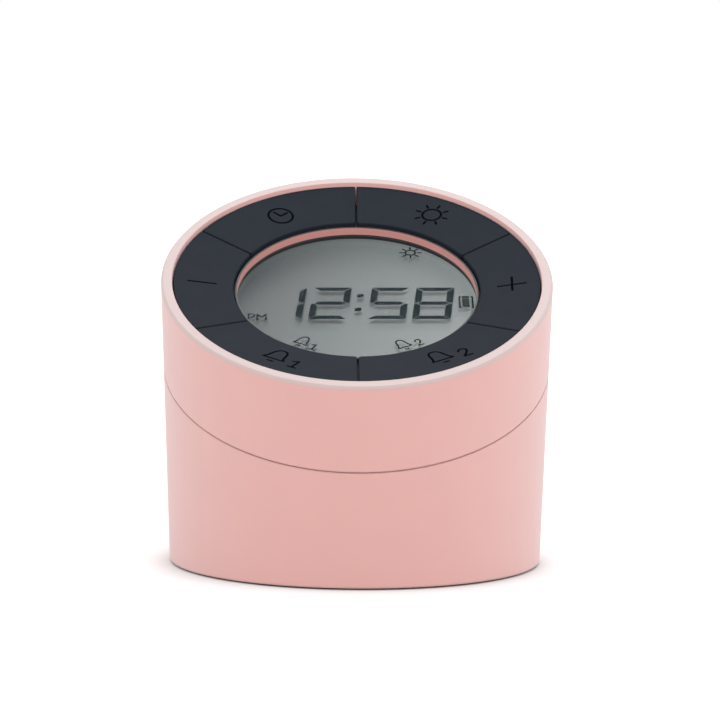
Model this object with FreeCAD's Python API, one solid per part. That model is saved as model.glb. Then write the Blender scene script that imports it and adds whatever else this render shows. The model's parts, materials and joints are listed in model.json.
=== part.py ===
import FreeCAD, Part
import math
import os

# Slanted-top alarm clock: a tapered drum cut by two parallel slanted planes, the face and
# the seam. Millimetres, +Z up, origin on the floor under the middle of the drum, low side
# of the face towards -Y. Depths are measured square to the slanted planes, downwards.
# Bearings and radii on the face are those seen from straight above: 0 is +X, 90 is +Y.

Vector = FreeCAD.Vector
Placement = FreeCAD.Placement
Rotation = FreeCAD.Rotation

# Outer form
TILT = 24.5                  # slope of the face and of the seam, degrees
BASE_RADIUS = 42.65          # drum radius at floor level
WALL_DRAFT = 2.06            # outward flare of the drum wall, degrees
FACE_HEIGHT = 65.2           # rim plane, on the drum's axis
SEAM_GAP = 0.3               # open joint line between the two halves
RIM_BEVEL = 0.45             # outer edge of the rim
FOOT_BEVEL = 0.3             # lower edge of the drum

# Walls
WALL = 2.2                   # wall of the lower half
RIM_WIDTH = 2.55             # rim round the keys, and wall of the upper half
HEAD_FLOOR = 2.1             # floor of the upper half
LOWER_DECK = 2.4             # slanted deck of the lower half

# Ring of keys
KEY_TRAVEL = 0.4             # how far a key goes in
KEY_SIDE_GAP = 0.3           # key to rim and key to collar
KEY_SPLIT = 0.4              # gap between neighbouring keys
KEY_OUTER_DEPTH = 0.6        # key surface below the rim, at the rim
KEY_INNER_DEPTH = 2.7        # key surface below the rim, at the collar
KEY_SKIRT_DEPTH = 4.1        # lower edge of the keys
KEY_SHELL = 1.3              # thickness of a key's top and sides
KEY_WIDTH = 13.75            # width of the ring of keys
KEY_CORNER = 0.8             # rounded inner corners
KEY_BEVEL = 0.15             # upper edges
DISH_SPREAD = 4.0            # dished surface drawn past the edges of the keys
KEY_BOTTOM_ROOM = 0.2        # left under a key that is fully in
STEM_SIZE = 2.8              # square stem that works the switch
LEG_INSET = 6.15             # snap legs from the outer edge of the keys
LEG_BEARING = 17.0           # snap legs, either side of the key's middle, degrees
LEG_THICKNESS = 1.2
LEG_WIDTH = 3.0
HOOK_REACH = 0.8             # how far a hook stands out of its leg
HOOK_HEIGHT = 1.0
HOOK_PLAY = 0.05             # hook below the key frame at rest
SLOT_PLAY = 0.25             # leg in its slot
STEM_PLAY = 0.15             # stem in its hole
KEYS = {
    "clock": 120,
    "light": 60,
    "plus": 0,
    "alarm_2": 300,
    "alarm_1": 240,
    "minus": 180,
}
HALF_KEY = 180 / len(KEYS)   # half the angle that one key takes
HIGH_SIDE = 90               # bearing of the high side of the face
LOW_SIDE = 270

# Display well
COLLAR_STEP = 0.8            # collar below the inner edge of the keys
COLLAR_WALL = 0.5
COLLAR_VISIBLE = 2.3         # height of the collar
COLLAR_BEVEL = 0.15
GLUE_GAP = 0.05              # glued and seated joints
GASKET_HEIGHT = 0.8
GASKET_STEP = 0.2            # gasket stands back from the collar
LENS_THICKNESS = 0.8
LENS_PLAY = 0.1              # display pieces in the key frame and the holder
LENS_LIP = 2.3               # lens and panel reach this far under the key frame
LCD_THICKNESS = 1.8
BACKLIGHT_THICKNESS = 2.1
HOLDER_WALL = 1.0
CONNECTOR_WIDTH = 2.4
CONNECTOR_INSET = 9.4        # from the low edge of the panel
CONNECTOR_END_GAP = 1.8      # ends to the edge of the panel
CONNECTOR_PLAY = 0.2

# Key frame and head board
FRAME_THICKNESS = 1.6
FRAME_PLAY = 0.3             # key frame in the upper housing
FRAME_PAD = 0.8              # thicker pad under each frame screw
POST_RADIUS = 2.8            # posts of the upper housing
POST_INSET = 8.5             # posts from the outside of the drum
BOARD_THICKNESS = 1.2
BOARD_PLAY = 0.5             # board to wall and board to posts
BOARD_POST_RADIUS = 2.0
BOARD_POSTS = ((0, 6.2), (90, 11.0), (180, 6.2), (270, 11.0))   # bearing, distance from outside
SWITCH_SIZE = 4.5
SWITCH_GAP = 0.2             # switches to the display holder
SWITCH_HEIGHT = 2.2
SWITCH_SHELL = 0.7
PLUNGER_SIZE = 1.9           # square plunger
PLUNGER_PLAY = 0.05
PLUNGER_RISE = 0.8           # plunger above its switch
PLUNGER_HOLD = 0.8           # plunger inside its switch at rest
DRIVER_SIZE = 9.0            # driver chip under the head board
DRIVER_HEIGHT = 1.2
DRIVER_PLACE = 28.0

# Swivel
SPINDLE_RADIUS = 8.0
SPINDLE_BORE = 5.0
SPINDLE_PLAY = 0.05          # running fit in the hub
FLANGE_RADIUS = 12.5
FLANGE_THICKNESS = 1.5
SPINDLE_ROOM = 0.25          # flange to the head board
SPINDLE_PAD = 1.0            # raised ring of the head's floor under the flange
HUB_WALL = 3.4
HUB_LENGTH = 7.4
SLIDE_PLAY = 0.05            # between faces that turn on each other
FRICTION_THICKNESS = 1.0
FRICTION_WIDTH = 3.6
WASHER_THICKNESS = 1.2
STOP_TAB_WIDTH = 6.0         # tab of the washer between the stops
STOP_TAB_REACH = 3.2
STOP_WIDTH = 3.0
STOP_PLAY = 0.1              # tab to stop at the end of the swivel
STOP_INNER_PLAY = 0.1        # stops outside the washer's edge
GLIDE_INNER = 15.0
GLIDE_OUTER = 27.0
GLIDE_GROOVE = 0.7
SPINDLE_SCREW_PLACE = 10.5
WASHER_SCREW_PLACE = 6.5
SWIVEL_SCREWS = 3

# Light at the seam
LIGHT_WALL = 1.4             # housing wall outside the light channel
LIGHT_WIDTH = 5.6
LIGHT_DEPTH = 5.0
LIGHT_PLAY = 0.1
LIGHT_STEP = 0.05            # diffuser below the edge of its channel
DIFFUSER_PLATE = 1.2
DIFFUSER_LEG = 1.0
LIGHT_BOARD = 1.0
LED_LENGTH = 3.0
LED_WIDTH = 2.0
LED_HEIGHT = 0.7
LED_COUNT = 12

# Base
FOOT_STAND = 0.4             # drum's lower edge above the floor
PLATE_RECESS = 0.4           # base plate above the drum's lower edge
PLATE_THICKNESS = 2.4
PLATE_WALL = 1.2             # drum wall round the base plate
PLATE_PLAY = 0.1
FOOT_INSET = 2.6             # foot ring inside the drum's lower edge
FOOT_WIDTH = 3.2
FOOT_GROOVE = 0.8
FOOT_EDGE = 0.3
BOSS_RADIUS = 3.2
BOSS_TOP = 16.0
BOSS_WEB = 1.6
REAR_SCREW_BEARING = 25      # rear base screws, from either side of the drum
FRONT_SCREW_BEARING = 27     # front base screws, likewise
BASE_SCREW_EDGE = 1.7        # head wells to the foot groove
SCREW_WELL = 1.0             # depth of a base screw's head well

# Rechargeable cell
CELL_RADIUS = 9.1
CELL_END_GAP = 1.0           # ends of the cell to the screw bosses
CELL_INSET = 23.7            # axis of the cell from the drum's front
CELL_EDGE = 0.8
CRADLE_FLOOR = 1.2
CRADLE_WIDTH = 6.0
CRADLE_SPACING = 30.0
CRADLE_GRIP = 3.0            # saddles reach this far above the cell's axis
CRADLE_WALL = 1.5
CELL_PLAY = 0.1
CONTACT_THICKNESS = 0.3
CONTACT_SIZE = 6.0

# Main board
MAIN_BOARD_HEIGHT = 9.0      # underside of the main board
MAIN_BOARD_SIDE_GAP = 3.8    # board to the screw bosses beside it
MAIN_BOARD_THICKNESS = 1.6
MAIN_BOARD_GAP = 1.2         # board to the battery cradle
MAIN_BOARD_WALL_GAP = 1.6    # rear corners of the board to the drum wall
TONGUE_WIDTH = 14.0
TONGUE_WALL_GAP = 1.0        # tongue to the drum wall
STANDOFF_RADIUS = 2.5
STANDOFF_INSET = 5.0         # standoffs from the board's edges
CHIP_SIZE = 7.0
CHIP_HEIGHT = 1.0
CHIP_PLACES = ((-11.0, -3.5), (10.5, 5.0))      # from the middle of the board
HEADER_SIZE = 6.0
HEADER_HEIGHT = 2.4

# Charging socket
SOCKET_WIDTH = 9.0
SOCKET_HEIGHT = 3.3
SOCKET_LENGTH = 7.4
SOCKET_SHELL = 0.3
SOCKET_RECESS = 1.2          # mouth behind the drum's outside
SOCKET_PLAY = 0.2
SOCKET_TONGUE_WIDTH = 6.7
SOCKET_TONGUE = 0.7
SOCKET_BACK = 1.2
PORT_FLARE = 1.0             # shallow recess round the port
PORT_FLARE_DEPTH = 0.7

# Sounder
SOUNDER_RADIUS = 12.0
SOUNDER_LIP = 0.8
SOUNDER_CAN_RADIUS = 11.0
SOUNDER_HEIGHT = 4.8
SOUNDER_PLACE = 12.0
SOUNDER_THROAT = 8.0
GRILLE_SLOTS = 3
GRILLE_LENGTH = 11.0
GRILLE_WIDTH = 1.2
GRILLE_SPACING = 3.2

# Leads on the swivel axis
LEAD_RADIUS = 1.6
LEAD_BEND = 18.0             # radius of the bundle's bend
LEAD_TURN_DEPTH = 18.0       # where it leaves the swivel axis

# Screws
SCREW_RADIUS = 0.95
SCREW_HEAD_RADIUS = 1.8
SCREW_HEAD_HEIGHT = 1.2
SCREW_SINK = 0.85            # height of a countersunk head
SCREW_PLAY = 0.05            # thread in its pilot hole
SCREW_HOLE_PLAY = 0.2        # shank in its clearance hole
SLOT_WIDTH = 0.5
SLOT_DEPTH = 0.5
LONG_SCREW = 9.0
BOARD_SCREW = 5.0
FRAME_SCREW = 8.0
SPINDLE_SCREW = 4.2
WASHER_SCREW = 6.0

REACH = 80.0                 # larger than the clock
FAR = 100.0
TOUCH = 0.001                # how near an edge counts as on a surface

# Worked out from the sizes above
SLOPE = math.tan(math.radians(TILT))
SQUARE = math.cos(math.radians(TILT))
FLARE = math.tan(math.radians(WALL_DRAFT))
HALF_GAP = SEAM_GAP / 2

FRAME_TOP = KEY_SKIRT_DEPTH + KEY_TRAVEL + KEY_BOTTOM_ROOM
FRAME_UNDER = FRAME_TOP + FRAME_THICKNESS
POST_TOP = FRAME_UNDER + FRAME_PAD
COLLAR_TOP = KEY_INNER_DEPTH + COLLAR_STEP
COLLAR_FOOT = COLLAR_TOP + COLLAR_VISIBLE
FACE_RADIUS = BASE_RADIUS + FLARE * FACE_HEIGHT
KEY_WALL = RIM_WIDTH + KEY_SIDE_GAP
KEY_OUTER_RADIUS = FACE_RADIUS - KEY_WALL
KEY_INNER_RADIUS = KEY_OUTER_RADIUS - KEY_WIDTH
KEY_FALL = (KEY_INNER_DEPTH - KEY_OUTER_DEPTH) / KEY_WIDTH
LEG_PLACE = KEY_OUTER_RADIUS - LEG_INSET
POST_PLACE = FACE_RADIUS - POST_INSET
COLLAR_RADIUS = KEY_INNER_RADIUS - KEY_SIDE_GAP
LENS_RADIUS = COLLAR_RADIUS + LENS_LIP
LENS_TOP = COLLAR_FOOT + GASKET_HEIGHT
HOLDER_RADIUS = LENS_RADIUS + LENS_PLAY + HOLDER_WALL
STEM_PLACE = HOLDER_RADIUS + SWITCH_GAP + SWITCH_SIZE / 2
LCD_TOP = LENS_TOP + LENS_THICKNESS
LCD_UNDER = LCD_TOP + LCD_THICKNESS
BOARD_TOP = LCD_UNDER + BACKLIGHT_THICKNESS
BOARD_UNDER = BOARD_TOP + BOARD_THICKNESS
SWITCH_TOP = BOARD_TOP - SWITCH_HEIGHT
STEM_END = SWITCH_TOP - PLUNGER_RISE
HEAD_FLOOR_TOP = BOARD_UNDER + SPINDLE_ROOM + FLANGE_THICKNESS + SPINDLE_PAD
HEAD_UNDER = HEAD_FLOOR_TOP + HEAD_FLOOR
SEAM_DEPTH = HEAD_UNDER + HALF_GAP
SEAM_HEIGHT = FACE_HEIGHT - SEAM_DEPTH / SQUARE
CONNECTOR_PLACE = LENS_RADIUS / SQUARE - CONNECTOR_INSET
CONNECTOR_EDGE = (CONNECTOR_PLACE + CONNECTOR_WIDTH / 2) * SQUARE
CONNECTOR_LENGTH = 2 * (math.sqrt(LENS_RADIUS ** 2 - CONNECTOR_EDGE ** 2) - CONNECTOR_END_GAP)

FLANGE_UNDER = -(HALF_GAP + HEAD_FLOOR + SPINDLE_PAD)
FLANGE_TOP = FLANGE_UNDER - FLANGE_THICKNESS
DECK_UNDER = HALF_GAP + LOWER_DECK
HUB_END = HALF_GAP + HUB_LENGTH
FRICTION_END = HUB_END + FRICTION_THICKNESS
SPINDLE_END = FRICTION_END + SLIDE_PLAY
WASHER_END = SPINDLE_END + WASHER_THICKNESS
LIGHT_FLOOR = HALF_GAP + LIGHT_DEPTH
LIGHT_BOARD_TOP = LIGHT_FLOOR - LIGHT_BOARD
CHANNEL_UNDER = LIGHT_FLOOR + LIGHT_WALL
CHANNEL_INNER = LIGHT_WALL + LIGHT_WIDTH

PLATE_LOW = FOOT_STAND + PLATE_RECESS
PLATE_TOP = PLATE_LOW + PLATE_THICKNESS
FOOT_OUTER = BASE_RADIUS - FOOT_INSET
FOOT_INNER = FOOT_OUTER - FOOT_WIDTH
BASE_SCREW_PLACE = FOOT_INNER - BASE_SCREW_EDGE - SCREW_HOLE_PLAY - SCREW_HEAD_RADIUS
FRONT_BOSS_EDGE = BASE_SCREW_PLACE * math.cos(math.radians(FRONT_SCREW_BEARING)) - BOSS_RADIUS
REAR_BOSS_EDGE = BASE_SCREW_PLACE * math.cos(math.radians(REAR_SCREW_BEARING)) - BOSS_RADIUS
CELL_PLACE = CELL_INSET - BASE_RADIUS
CELL_LENGTH = 2 * (FRONT_BOSS_EDGE - CELL_END_GAP - CONTACT_THICKNESS)
CELL_HEIGHT = PLATE_TOP + CRADLE_FLOOR + CELL_RADIUS + CELL_PLAY
CRADLE_HALF = CELL_RADIUS + CELL_PLAY + CRADLE_WALL
MAIN_BOARD_TOP = MAIN_BOARD_HEIGHT + MAIN_BOARD_THICKNESS
MAIN_BOARD_FRONT = CELL_PLACE + CRADLE_HALF + MAIN_BOARD_GAP
MAIN_BOARD_WIDTH = 2 * (REAR_BOSS_EDGE - MAIN_BOARD_SIDE_GAP)
SOCKET_MIDDLE = MAIN_BOARD_TOP + SOCKET_HEIGHT / 2
HEADER_TOP = MAIN_BOARD_TOP + HEADER_HEIGHT


def drum_radius(height):
    return BASE_RADIUS + FLARE * height


def section_middle(height):
    """Middle of the oval that a slanted plane through this height of the axis cuts."""
    lean = FLARE * SLOPE
    back = lean * drum_radius(height) / (1 - lean ** 2)
    return Vector(0, back, height + back * SLOPE)


FACE = Placement(section_middle(FACE_HEIGHT), Rotation(Vector(1, 0, 0), TILT))
SEAM = Placement(section_middle(SEAM_HEIGHT), Rotation(Vector(1, 0, 0), TILT))
FLOOR = Placement()
BOARD_ROOM = drum_radius(MAIN_BOARD_HEIGHT) - WALL - MAIN_BOARD_WALL_GAP
MAIN_BOARD_BACK = math.sqrt(BOARD_ROOM ** 2 - (MAIN_BOARD_WIDTH / 2) ** 2)


# Building blocks

def drum(inset, low=0.0, high=FAR):
    """The drum drawn in by a wall thickness, between two heights."""
    return Part.makeCone(drum_radius(low) - inset, drum_radius(high) - inset, high - low, Vector(0, 0, low))


def layer(frame, top, bottom):
    """Everything between two depths below a slanted plane."""
    slab = Part.makeBox(2 * REACH, 2 * REACH, bottom - top, Vector(-REACH, -REACH, -bottom))
    slab.Placement = frame
    return slab


def oval(frame, radius, top, bottom):
    """Prism square to the face that looks round from straight above."""
    middle = Vector(0, 0, -bottom)
    ellipse = Part.Ellipse(middle + Vector(0, radius / SQUARE, 0), middle + Vector(radius, 0, 0), middle)
    solid = Part.Face(Part.Wire(ellipse.toShape())).extrude(Vector(0, 0, bottom - top))
    if solid.Volume < 0:
        solid.reverse()
    solid.Placement = frame
    return solid


def oval_ring(frame, outer, inner, top, bottom):
    return oval(frame, outer, top, bottom).cut(oval(frame, inner, top, bottom))


def spot(bearing, radius):
    """Place on a slanted plane that has this bearing and radius from straight above."""
    turn = math.radians(bearing)
    return Vector(radius * math.cos(turn), radius * math.sin(turn) / SQUARE, 0)


def heading(bearing):
    """Direction in the slanted plane of a line that has this bearing from above, degrees."""
    way = spot(bearing, 1.0)
    return math.degrees(math.atan2(way.y, way.x))


def pin(frame, place, radius, top, bottom):
    solid = Part.makeCylinder(radius, bottom - top, Vector(place.x, place.y, -bottom))
    solid.Placement = frame
    return solid


def ring(frame, outer, inner, top, bottom):
    middle = Vector(0, 0, 0)
    return pin(frame, middle, outer, top, bottom).cut(pin(frame, middle, inner, top, bottom))


def block(frame, place, turn, length, width, top, bottom):
    """Box between two depths, its length turned to a direction in the plane."""
    solid = Part.makeBox(length, width, bottom - top, Vector(-length / 2, -width / 2, -bottom))
    solid.Placement = frame * Placement(Vector(place.x, place.y, 0), Rotation(Vector(0, 0, 1), turn))
    return solid


def slot_bar(width, height, front, back, middle):
    """Bar along Y with round ends, as wide and as high as a flat socket."""
    radius = height / 2
    half = width / 2 - radius
    bar = Part.makeBox(2 * half, back - front, height, Vector(-half, front, middle - radius))
    for side in (-half, half):
        bar = bar.fuse(Part.makeCylinder(radius, back - front, Vector(side, front, middle), Vector(0, 1, 0)))
    return bar.removeSplitter()


def turned(count, start=0.0):
    """Evenly spaced bearings round a circle."""
    return [start + index * 360 / count for index in range(count)]


def circle_spot(bearing, radius):
    """Place on a true circle in the slanted plane."""
    turn = math.radians(bearing)
    return Vector(radius * math.cos(turn), radius * math.sin(turn), 0)


def seat(frame, place, depth, upside_down=False):
    """Frame of a screw whose head rests at a depth below a plane."""
    turn = Rotation(Vector(1, 0, 0), 180 if upside_down else 0)
    return frame * Placement(Vector(place.x, place.y, -depth), turn)


def screw(frame, length, countersunk=False):
    """Slotted screw that points down from its seat."""
    head_top = 0 if countersunk else SCREW_HEAD_HEIGHT
    shank = Part.makeCylinder(SCREW_RADIUS, length, Vector(0, 0, -length))
    if countersunk:
        head = Part.makeCone(SCREW_RADIUS, SCREW_HEAD_RADIUS, SCREW_SINK, Vector(0, 0, -SCREW_SINK))
    else:
        head = Part.makeCylinder(SCREW_HEAD_RADIUS, SCREW_HEAD_HEIGHT)
    slot = Part.makeBox(
        2 * SCREW_HEAD_RADIUS, SLOT_WIDTH, SLOT_DEPTH,
        Vector(-SCREW_HEAD_RADIUS, -SLOT_WIDTH / 2, head_top - SLOT_DEPTH),
    )
    solid = shank.fuse(head).removeSplitter().cut(slot)
    solid.Placement = frame
    return solid


def countersink(frame, length):
    """Room for a countersunk screw: its head and its clearance hole."""
    hole = Part.makeCylinder(SCREW_RADIUS + SCREW_HOLE_PLAY, length, Vector(0, 0, -length))
    low = SCREW_RADIUS + SCREW_PLAY
    high = SCREW_HEAD_RADIUS + SCREW_PLAY
    room = hole.fuse(Part.makeCone(low, high, SCREW_SINK, Vector(0, 0, -SCREW_SINK)))
    room.Placement = frame
    return room


def pilot(frame, length):
    hole = Part.makeCylinder(SCREW_RADIUS + SCREW_PLAY, length, Vector(0, 0, -length))
    hole.Placement = frame
    return hole


def save(name, solids):
    """Write one sub-part: a single solid, or a group of separate ones."""
    shape = solids[0] if len(solids) == 1 else Part.makeCompound(solids)
    shape.exportStep(os.path.join("parts", name + ".step"))


def post_spots():
    """Places of the frame posts: under the splits between keys, but for the nearest and farthest."""
    splits = [bearing + HALF_KEY for bearing in KEYS.values()]
    return [spot(bearing, POST_PLACE) for bearing in splits if bearing not in (HIGH_SIDE, LOW_SIDE)]


def board_post_spots():
    return [spot(bearing, FACE_RADIUS - inset) for bearing, inset in BOARD_POSTS]


# Upper half

def upper_housing():
    """Pink cup: slanted rim, floor at the seam and posts for the key frame."""
    shell = drum(0).common(layer(FACE, 0, HEAD_UNDER))
    rim = [edge for edge in shell.Edges if on_plane(edge, FACE, 0)]
    shell = shell.makeChamfer(RIM_BEVEL, rim)
    shell = shell.cut(drum(RIM_WIDTH).common(layer(FACE, -RIM_WIDTH, HEAD_FLOOR_TOP)))
    inside = drum(RIM_WIDTH / 2).common(layer(FACE, POST_TOP, HEAD_UNDER))
    for place in post_spots():
        shell = shell.fuse(pin(FACE, place, POST_RADIUS, POST_TOP, HEAD_UNDER).common(inside))
    shell = shell.fuse(ring(SEAM, FLANGE_RADIUS, SPINDLE_RADIUS, FLANGE_UNDER, -HALF_GAP - HEAD_FLOOR / 2))
    for place in post_spots():
        shell = shell.cut(pilot(seat(FACE, place, POST_TOP), FRAME_SCREW))
    shell = shell.cut(pin(SEAM, Vector(), SPINDLE_RADIUS + SPINDLE_PLAY, FLANGE_TOP, 0))
    for bearing in turned(SWIVEL_SCREWS, HIGH_SIDE):
        place = circle_spot(bearing, SPINDLE_SCREW_PLACE)
        shell = shell.cut(pilot(seat(SEAM, place, FLANGE_TOP), SPINDLE_SCREW))
    return shell


def on_plane(edge, frame, depth):
    """Whether an edge lies at one depth below a slanted plane."""
    back = frame.inverse()
    middle = edge.valueAt((edge.FirstParameter + edge.LastParameter) / 2)
    points = [middle, edge.valueAt(edge.FirstParameter)]
    return all(abs(back.multVec(point).z + depth) < TOUCH for point in points)


def face_radius(point):
    """Radius of a point from the middle of the face, seen from straight above."""
    local = FACE.inverse().multVec(point)
    return math.hypot(local.x, local.y * SQUARE)


def dish(depth):
    """Space above the sloping surface of the keys, lowered by a depth."""
    low = KEY_INNER_RADIUS - DISH_SPREAD
    high = KEY_OUTER_RADIUS + DISH_SPREAD
    bottom = KEY_INNER_DEPTH + KEY_FALL * DISH_SPREAD + depth
    bowl = Part.makeCone(low, high, KEY_FALL * (high - low), Vector(0, 0, -bottom))
    stretch = FreeCAD.Matrix()
    stretch.scale(1, 1 / SQUARE, 1)
    bowl = bowl.transformGeometry(stretch)
    bowl.Placement = FACE
    return bowl


def key_wedge(bearing, side_gap):
    """The sector that one key takes, less a gap along both of its sides."""
    corners = []
    for side in (-1, 1):
        turn = math.radians(heading(bearing + side * HALF_KEY))
        along = Vector(math.cos(turn), math.sin(turn), 0)
        inward = Vector(side * along.y, -side * along.x, 0) * side_gap
        start = along * (KEY_INNER_RADIUS / 2) + inward
        end = along * REACH + inward
        corners.append((start, end))
    (start_1, end_1), (start_2, end_2) = corners
    outline = Part.makePolygon([start_1, end_1, end_2, start_2, start_1])
    solid = Part.Face(outline).extrude(Vector(0, 0, -KEY_SKIRT_DEPTH))
    if solid.Volume < 0:
        solid.reverse()
    solid.Placement = FACE
    return solid


def key_sector(bearing, shrink, side_gap):
    """Sector of the key ring with its walls drawn in, down to the skirt."""
    top = KEY_OUTER_DEPTH / 2 + shrink
    band = drum(KEY_WALL + shrink).common(layer(FACE, top, KEY_SKIRT_DEPTH))
    band = band.cut(oval(FACE, KEY_INNER_RADIUS + shrink, 0, KEY_SKIRT_DEPTH))
    return band.common(key_wedge(bearing, side_gap))


def is_corner(edge):
    """Whether an edge is an upright inner corner of a key."""
    back = FACE.inverse()
    depths = [back.multVec(vertex.Point).z for vertex in edge.Vertexes]
    if max(depths) - min(depths) < KEY_SHELL:
        return False
    return face_radius(edge.Vertexes[0].Point) < (KEY_INNER_RADIUS + KEY_OUTER_RADIUS) / 2


def is_surface_edge(edge):
    """Whether an edge bounds the sloping upper surface of a key."""
    back = FACE.inverse()
    first, last = edge.FirstParameter, edge.LastParameter
    for share in (0.0, 0.5, 1.0):
        point = edge.valueAt(first + share * (last - first))
        surface = KEY_OUTER_DEPTH + KEY_FALL * (KEY_OUTER_RADIUS - face_radius(point))
        if abs(back.multVec(point).z + surface) > TOUCH:
            return False
    return True


def stem(bearing, play):
    """Square stem under a key, or the room for it in the key frame."""
    size = STEM_SIZE + 2 * play
    return block(FACE, spot(bearing, STEM_PLACE), heading(bearing), size, size, KEY_SHELL, STEM_END)


def key(bearing):
    """One key: dished shell with rounded corners, a stem and two snap legs."""
    body = key_sector(bearing, 0, KEY_SPLIT / 2)
    body = body.makeFillet(KEY_CORNER, [edge for edge in body.Edges if is_corner(edge)])
    body = body.cut(dish(0))
    body = body.makeChamfer(KEY_BEVEL, [edge for edge in body.Edges if is_surface_edge(edge)])
    hollow = key_sector(bearing, KEY_SHELL, KEY_SPLIT / 2 + KEY_SHELL).cut(dish(KEY_SHELL))
    body = body.cut(hollow)
    above = dish(KEY_SHELL / 2)
    body = body.fuse(stem(bearing, 0).cut(above))
    for side in (-1, 1):
        leg_bearing = bearing + side * LEG_BEARING
        turn = heading(leg_bearing)
        place = spot(leg_bearing, LEG_PLACE)
        hook_top = FRAME_UNDER + HOOK_PLAY
        hook_end = hook_top + HOOK_HEIGHT
        leg = block(FACE, place, turn, LEG_THICKNESS, LEG_WIDTH, KEY_SHELL, hook_end).cut(above)
        outward = circle_spot(turn, HOOK_REACH / 2)
        hook = block(FACE, place + outward, turn, LEG_THICKNESS + HOOK_REACH, LEG_WIDTH, hook_top, hook_end)
        body = body.fuse(leg).fuse(hook)
    return body.removeSplitter()


def key_frame():
    """Deck under the keys, with stem holes, hook slots, screw pads and board posts."""
    outline = drum(RIM_WIDTH + FRAME_PLAY)
    frame = outline.common(layer(FACE, FRAME_TOP, FRAME_UNDER))
    for place in post_spots():
        frame = frame.fuse(pin(FACE, place, POST_RADIUS, FRAME_TOP, POST_TOP).common(outline))
    for place in board_post_spots():
        frame = frame.fuse(pin(FACE, place, BOARD_POST_RADIUS, FRAME_TOP, BOARD_TOP))
    frame = frame.cut(oval(FACE, COLLAR_RADIUS + GLUE_GAP, 0, SEAM_DEPTH))
    frame = frame.cut(oval(FACE, LENS_RADIUS + LENS_PLAY, COLLAR_FOOT, SEAM_DEPTH))
    for place in post_spots():
        frame = frame.cut(countersink(seat(FACE, place, FRAME_TOP), FRAME_THICKNESS + 2 * FRAME_PAD))
    for place in board_post_spots():
        frame = frame.cut(pilot(seat(FACE, place, BOARD_UNDER, True), BOARD_SCREW))
    for bearing in KEYS.values():
        frame = frame.cut(stem(bearing, STEM_PLAY))
        for side in (-1, 1):
            leg_bearing = bearing + side * LEG_BEARING
            length = LEG_THICKNESS + 2 * SLOT_PLAY
            width = LEG_WIDTH + 2 * SLOT_PLAY
            place = spot(leg_bearing, LEG_PLACE)
            frame = frame.cut(block(FACE, place, heading(leg_bearing), length, width, 0, POST_TOP))
    return frame


def frame_screws():
    return [screw(seat(FACE, place, FRAME_TOP), FRAME_SCREW, True) for place in post_spots()]


def inner_collar():
    collar = oval(FACE, COLLAR_RADIUS, COLLAR_TOP, COLLAR_FOOT)
    upper = [edge for edge in collar.Edges if on_plane(edge, FACE, COLLAR_TOP)]
    collar = collar.makeChamfer(COLLAR_BEVEL, upper)
    return collar.cut(oval(FACE, COLLAR_RADIUS - COLLAR_WALL, COLLAR_TOP, COLLAR_FOOT))


def display_gasket():
    inner = COLLAR_RADIUS - COLLAR_WALL + GASKET_STEP
    return oval_ring(FACE, LENS_RADIUS, inner, COLLAR_FOOT, LENS_TOP)


def display_lens():
    return oval(FACE, LENS_RADIUS, LENS_TOP, LCD_TOP)


def lcd_panel():
    return oval(FACE, LENS_RADIUS, LCD_TOP, LCD_UNDER)


def connector_block(play):
    place = Vector(0, -CONNECTOR_PLACE, 0)
    length = CONNECTOR_LENGTH + 2 * play
    return block(FACE, place, 0, length, CONNECTOR_WIDTH + 2 * play, LCD_UNDER, BOARD_TOP)


def lcd_backlight():
    return oval(FACE, LENS_RADIUS, LCD_UNDER, BOARD_TOP).cut(connector_block(CONNECTOR_PLAY))


def lcd_holder():
    return oval_ring(FACE, HOLDER_RADIUS, LENS_RADIUS + LENS_PLAY, FRAME_UNDER, BOARD_TOP)


def head_board():
    """Board across the head, notched round the frame posts."""
    board = drum(RIM_WIDTH + BOARD_PLAY).common(layer(FACE, BOARD_TOP, BOARD_UNDER))
    for place in post_spots():
        board = board.cut(pin(FACE, place, POST_RADIUS + BOARD_PLAY, 0, SEAM_DEPTH))
    for place in board_post_spots():
        board = board.cut(pin(FACE, place, SCREW_RADIUS + SCREW_HOLE_PLAY, 0, SEAM_DEPTH))
    return board


def head_board_screws():
    return [screw(seat(FACE, place, BOARD_UNDER, True), BOARD_SCREW) for place in board_post_spots()]


def head_driver():
    place = Vector(0, -DRIVER_PLACE, 0)
    return block(FACE, place, 0, DRIVER_SIZE, DRIVER_SIZE, BOARD_UNDER, BOARD_UNDER + DRIVER_HEIGHT)


def switch_body(bearing):
    place = spot(bearing, STEM_PLACE)
    turn = heading(bearing)
    hole = PLUNGER_SIZE + 2 * PLUNGER_PLAY
    body = block(FACE, place, turn, SWITCH_SIZE, SWITCH_SIZE, SWITCH_TOP, BOARD_TOP)
    return body.cut(block(FACE, place, turn, hole, hole, SWITCH_TOP, BOARD_TOP - SWITCH_SHELL))


def plunger(bearing):
    place = spot(bearing, STEM_PLACE)
    bottom = SWITCH_TOP + PLUNGER_HOLD
    return block(FACE, place, heading(bearing), PLUNGER_SIZE, PLUNGER_SIZE, STEM_END, bottom)


# Swivel

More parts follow.
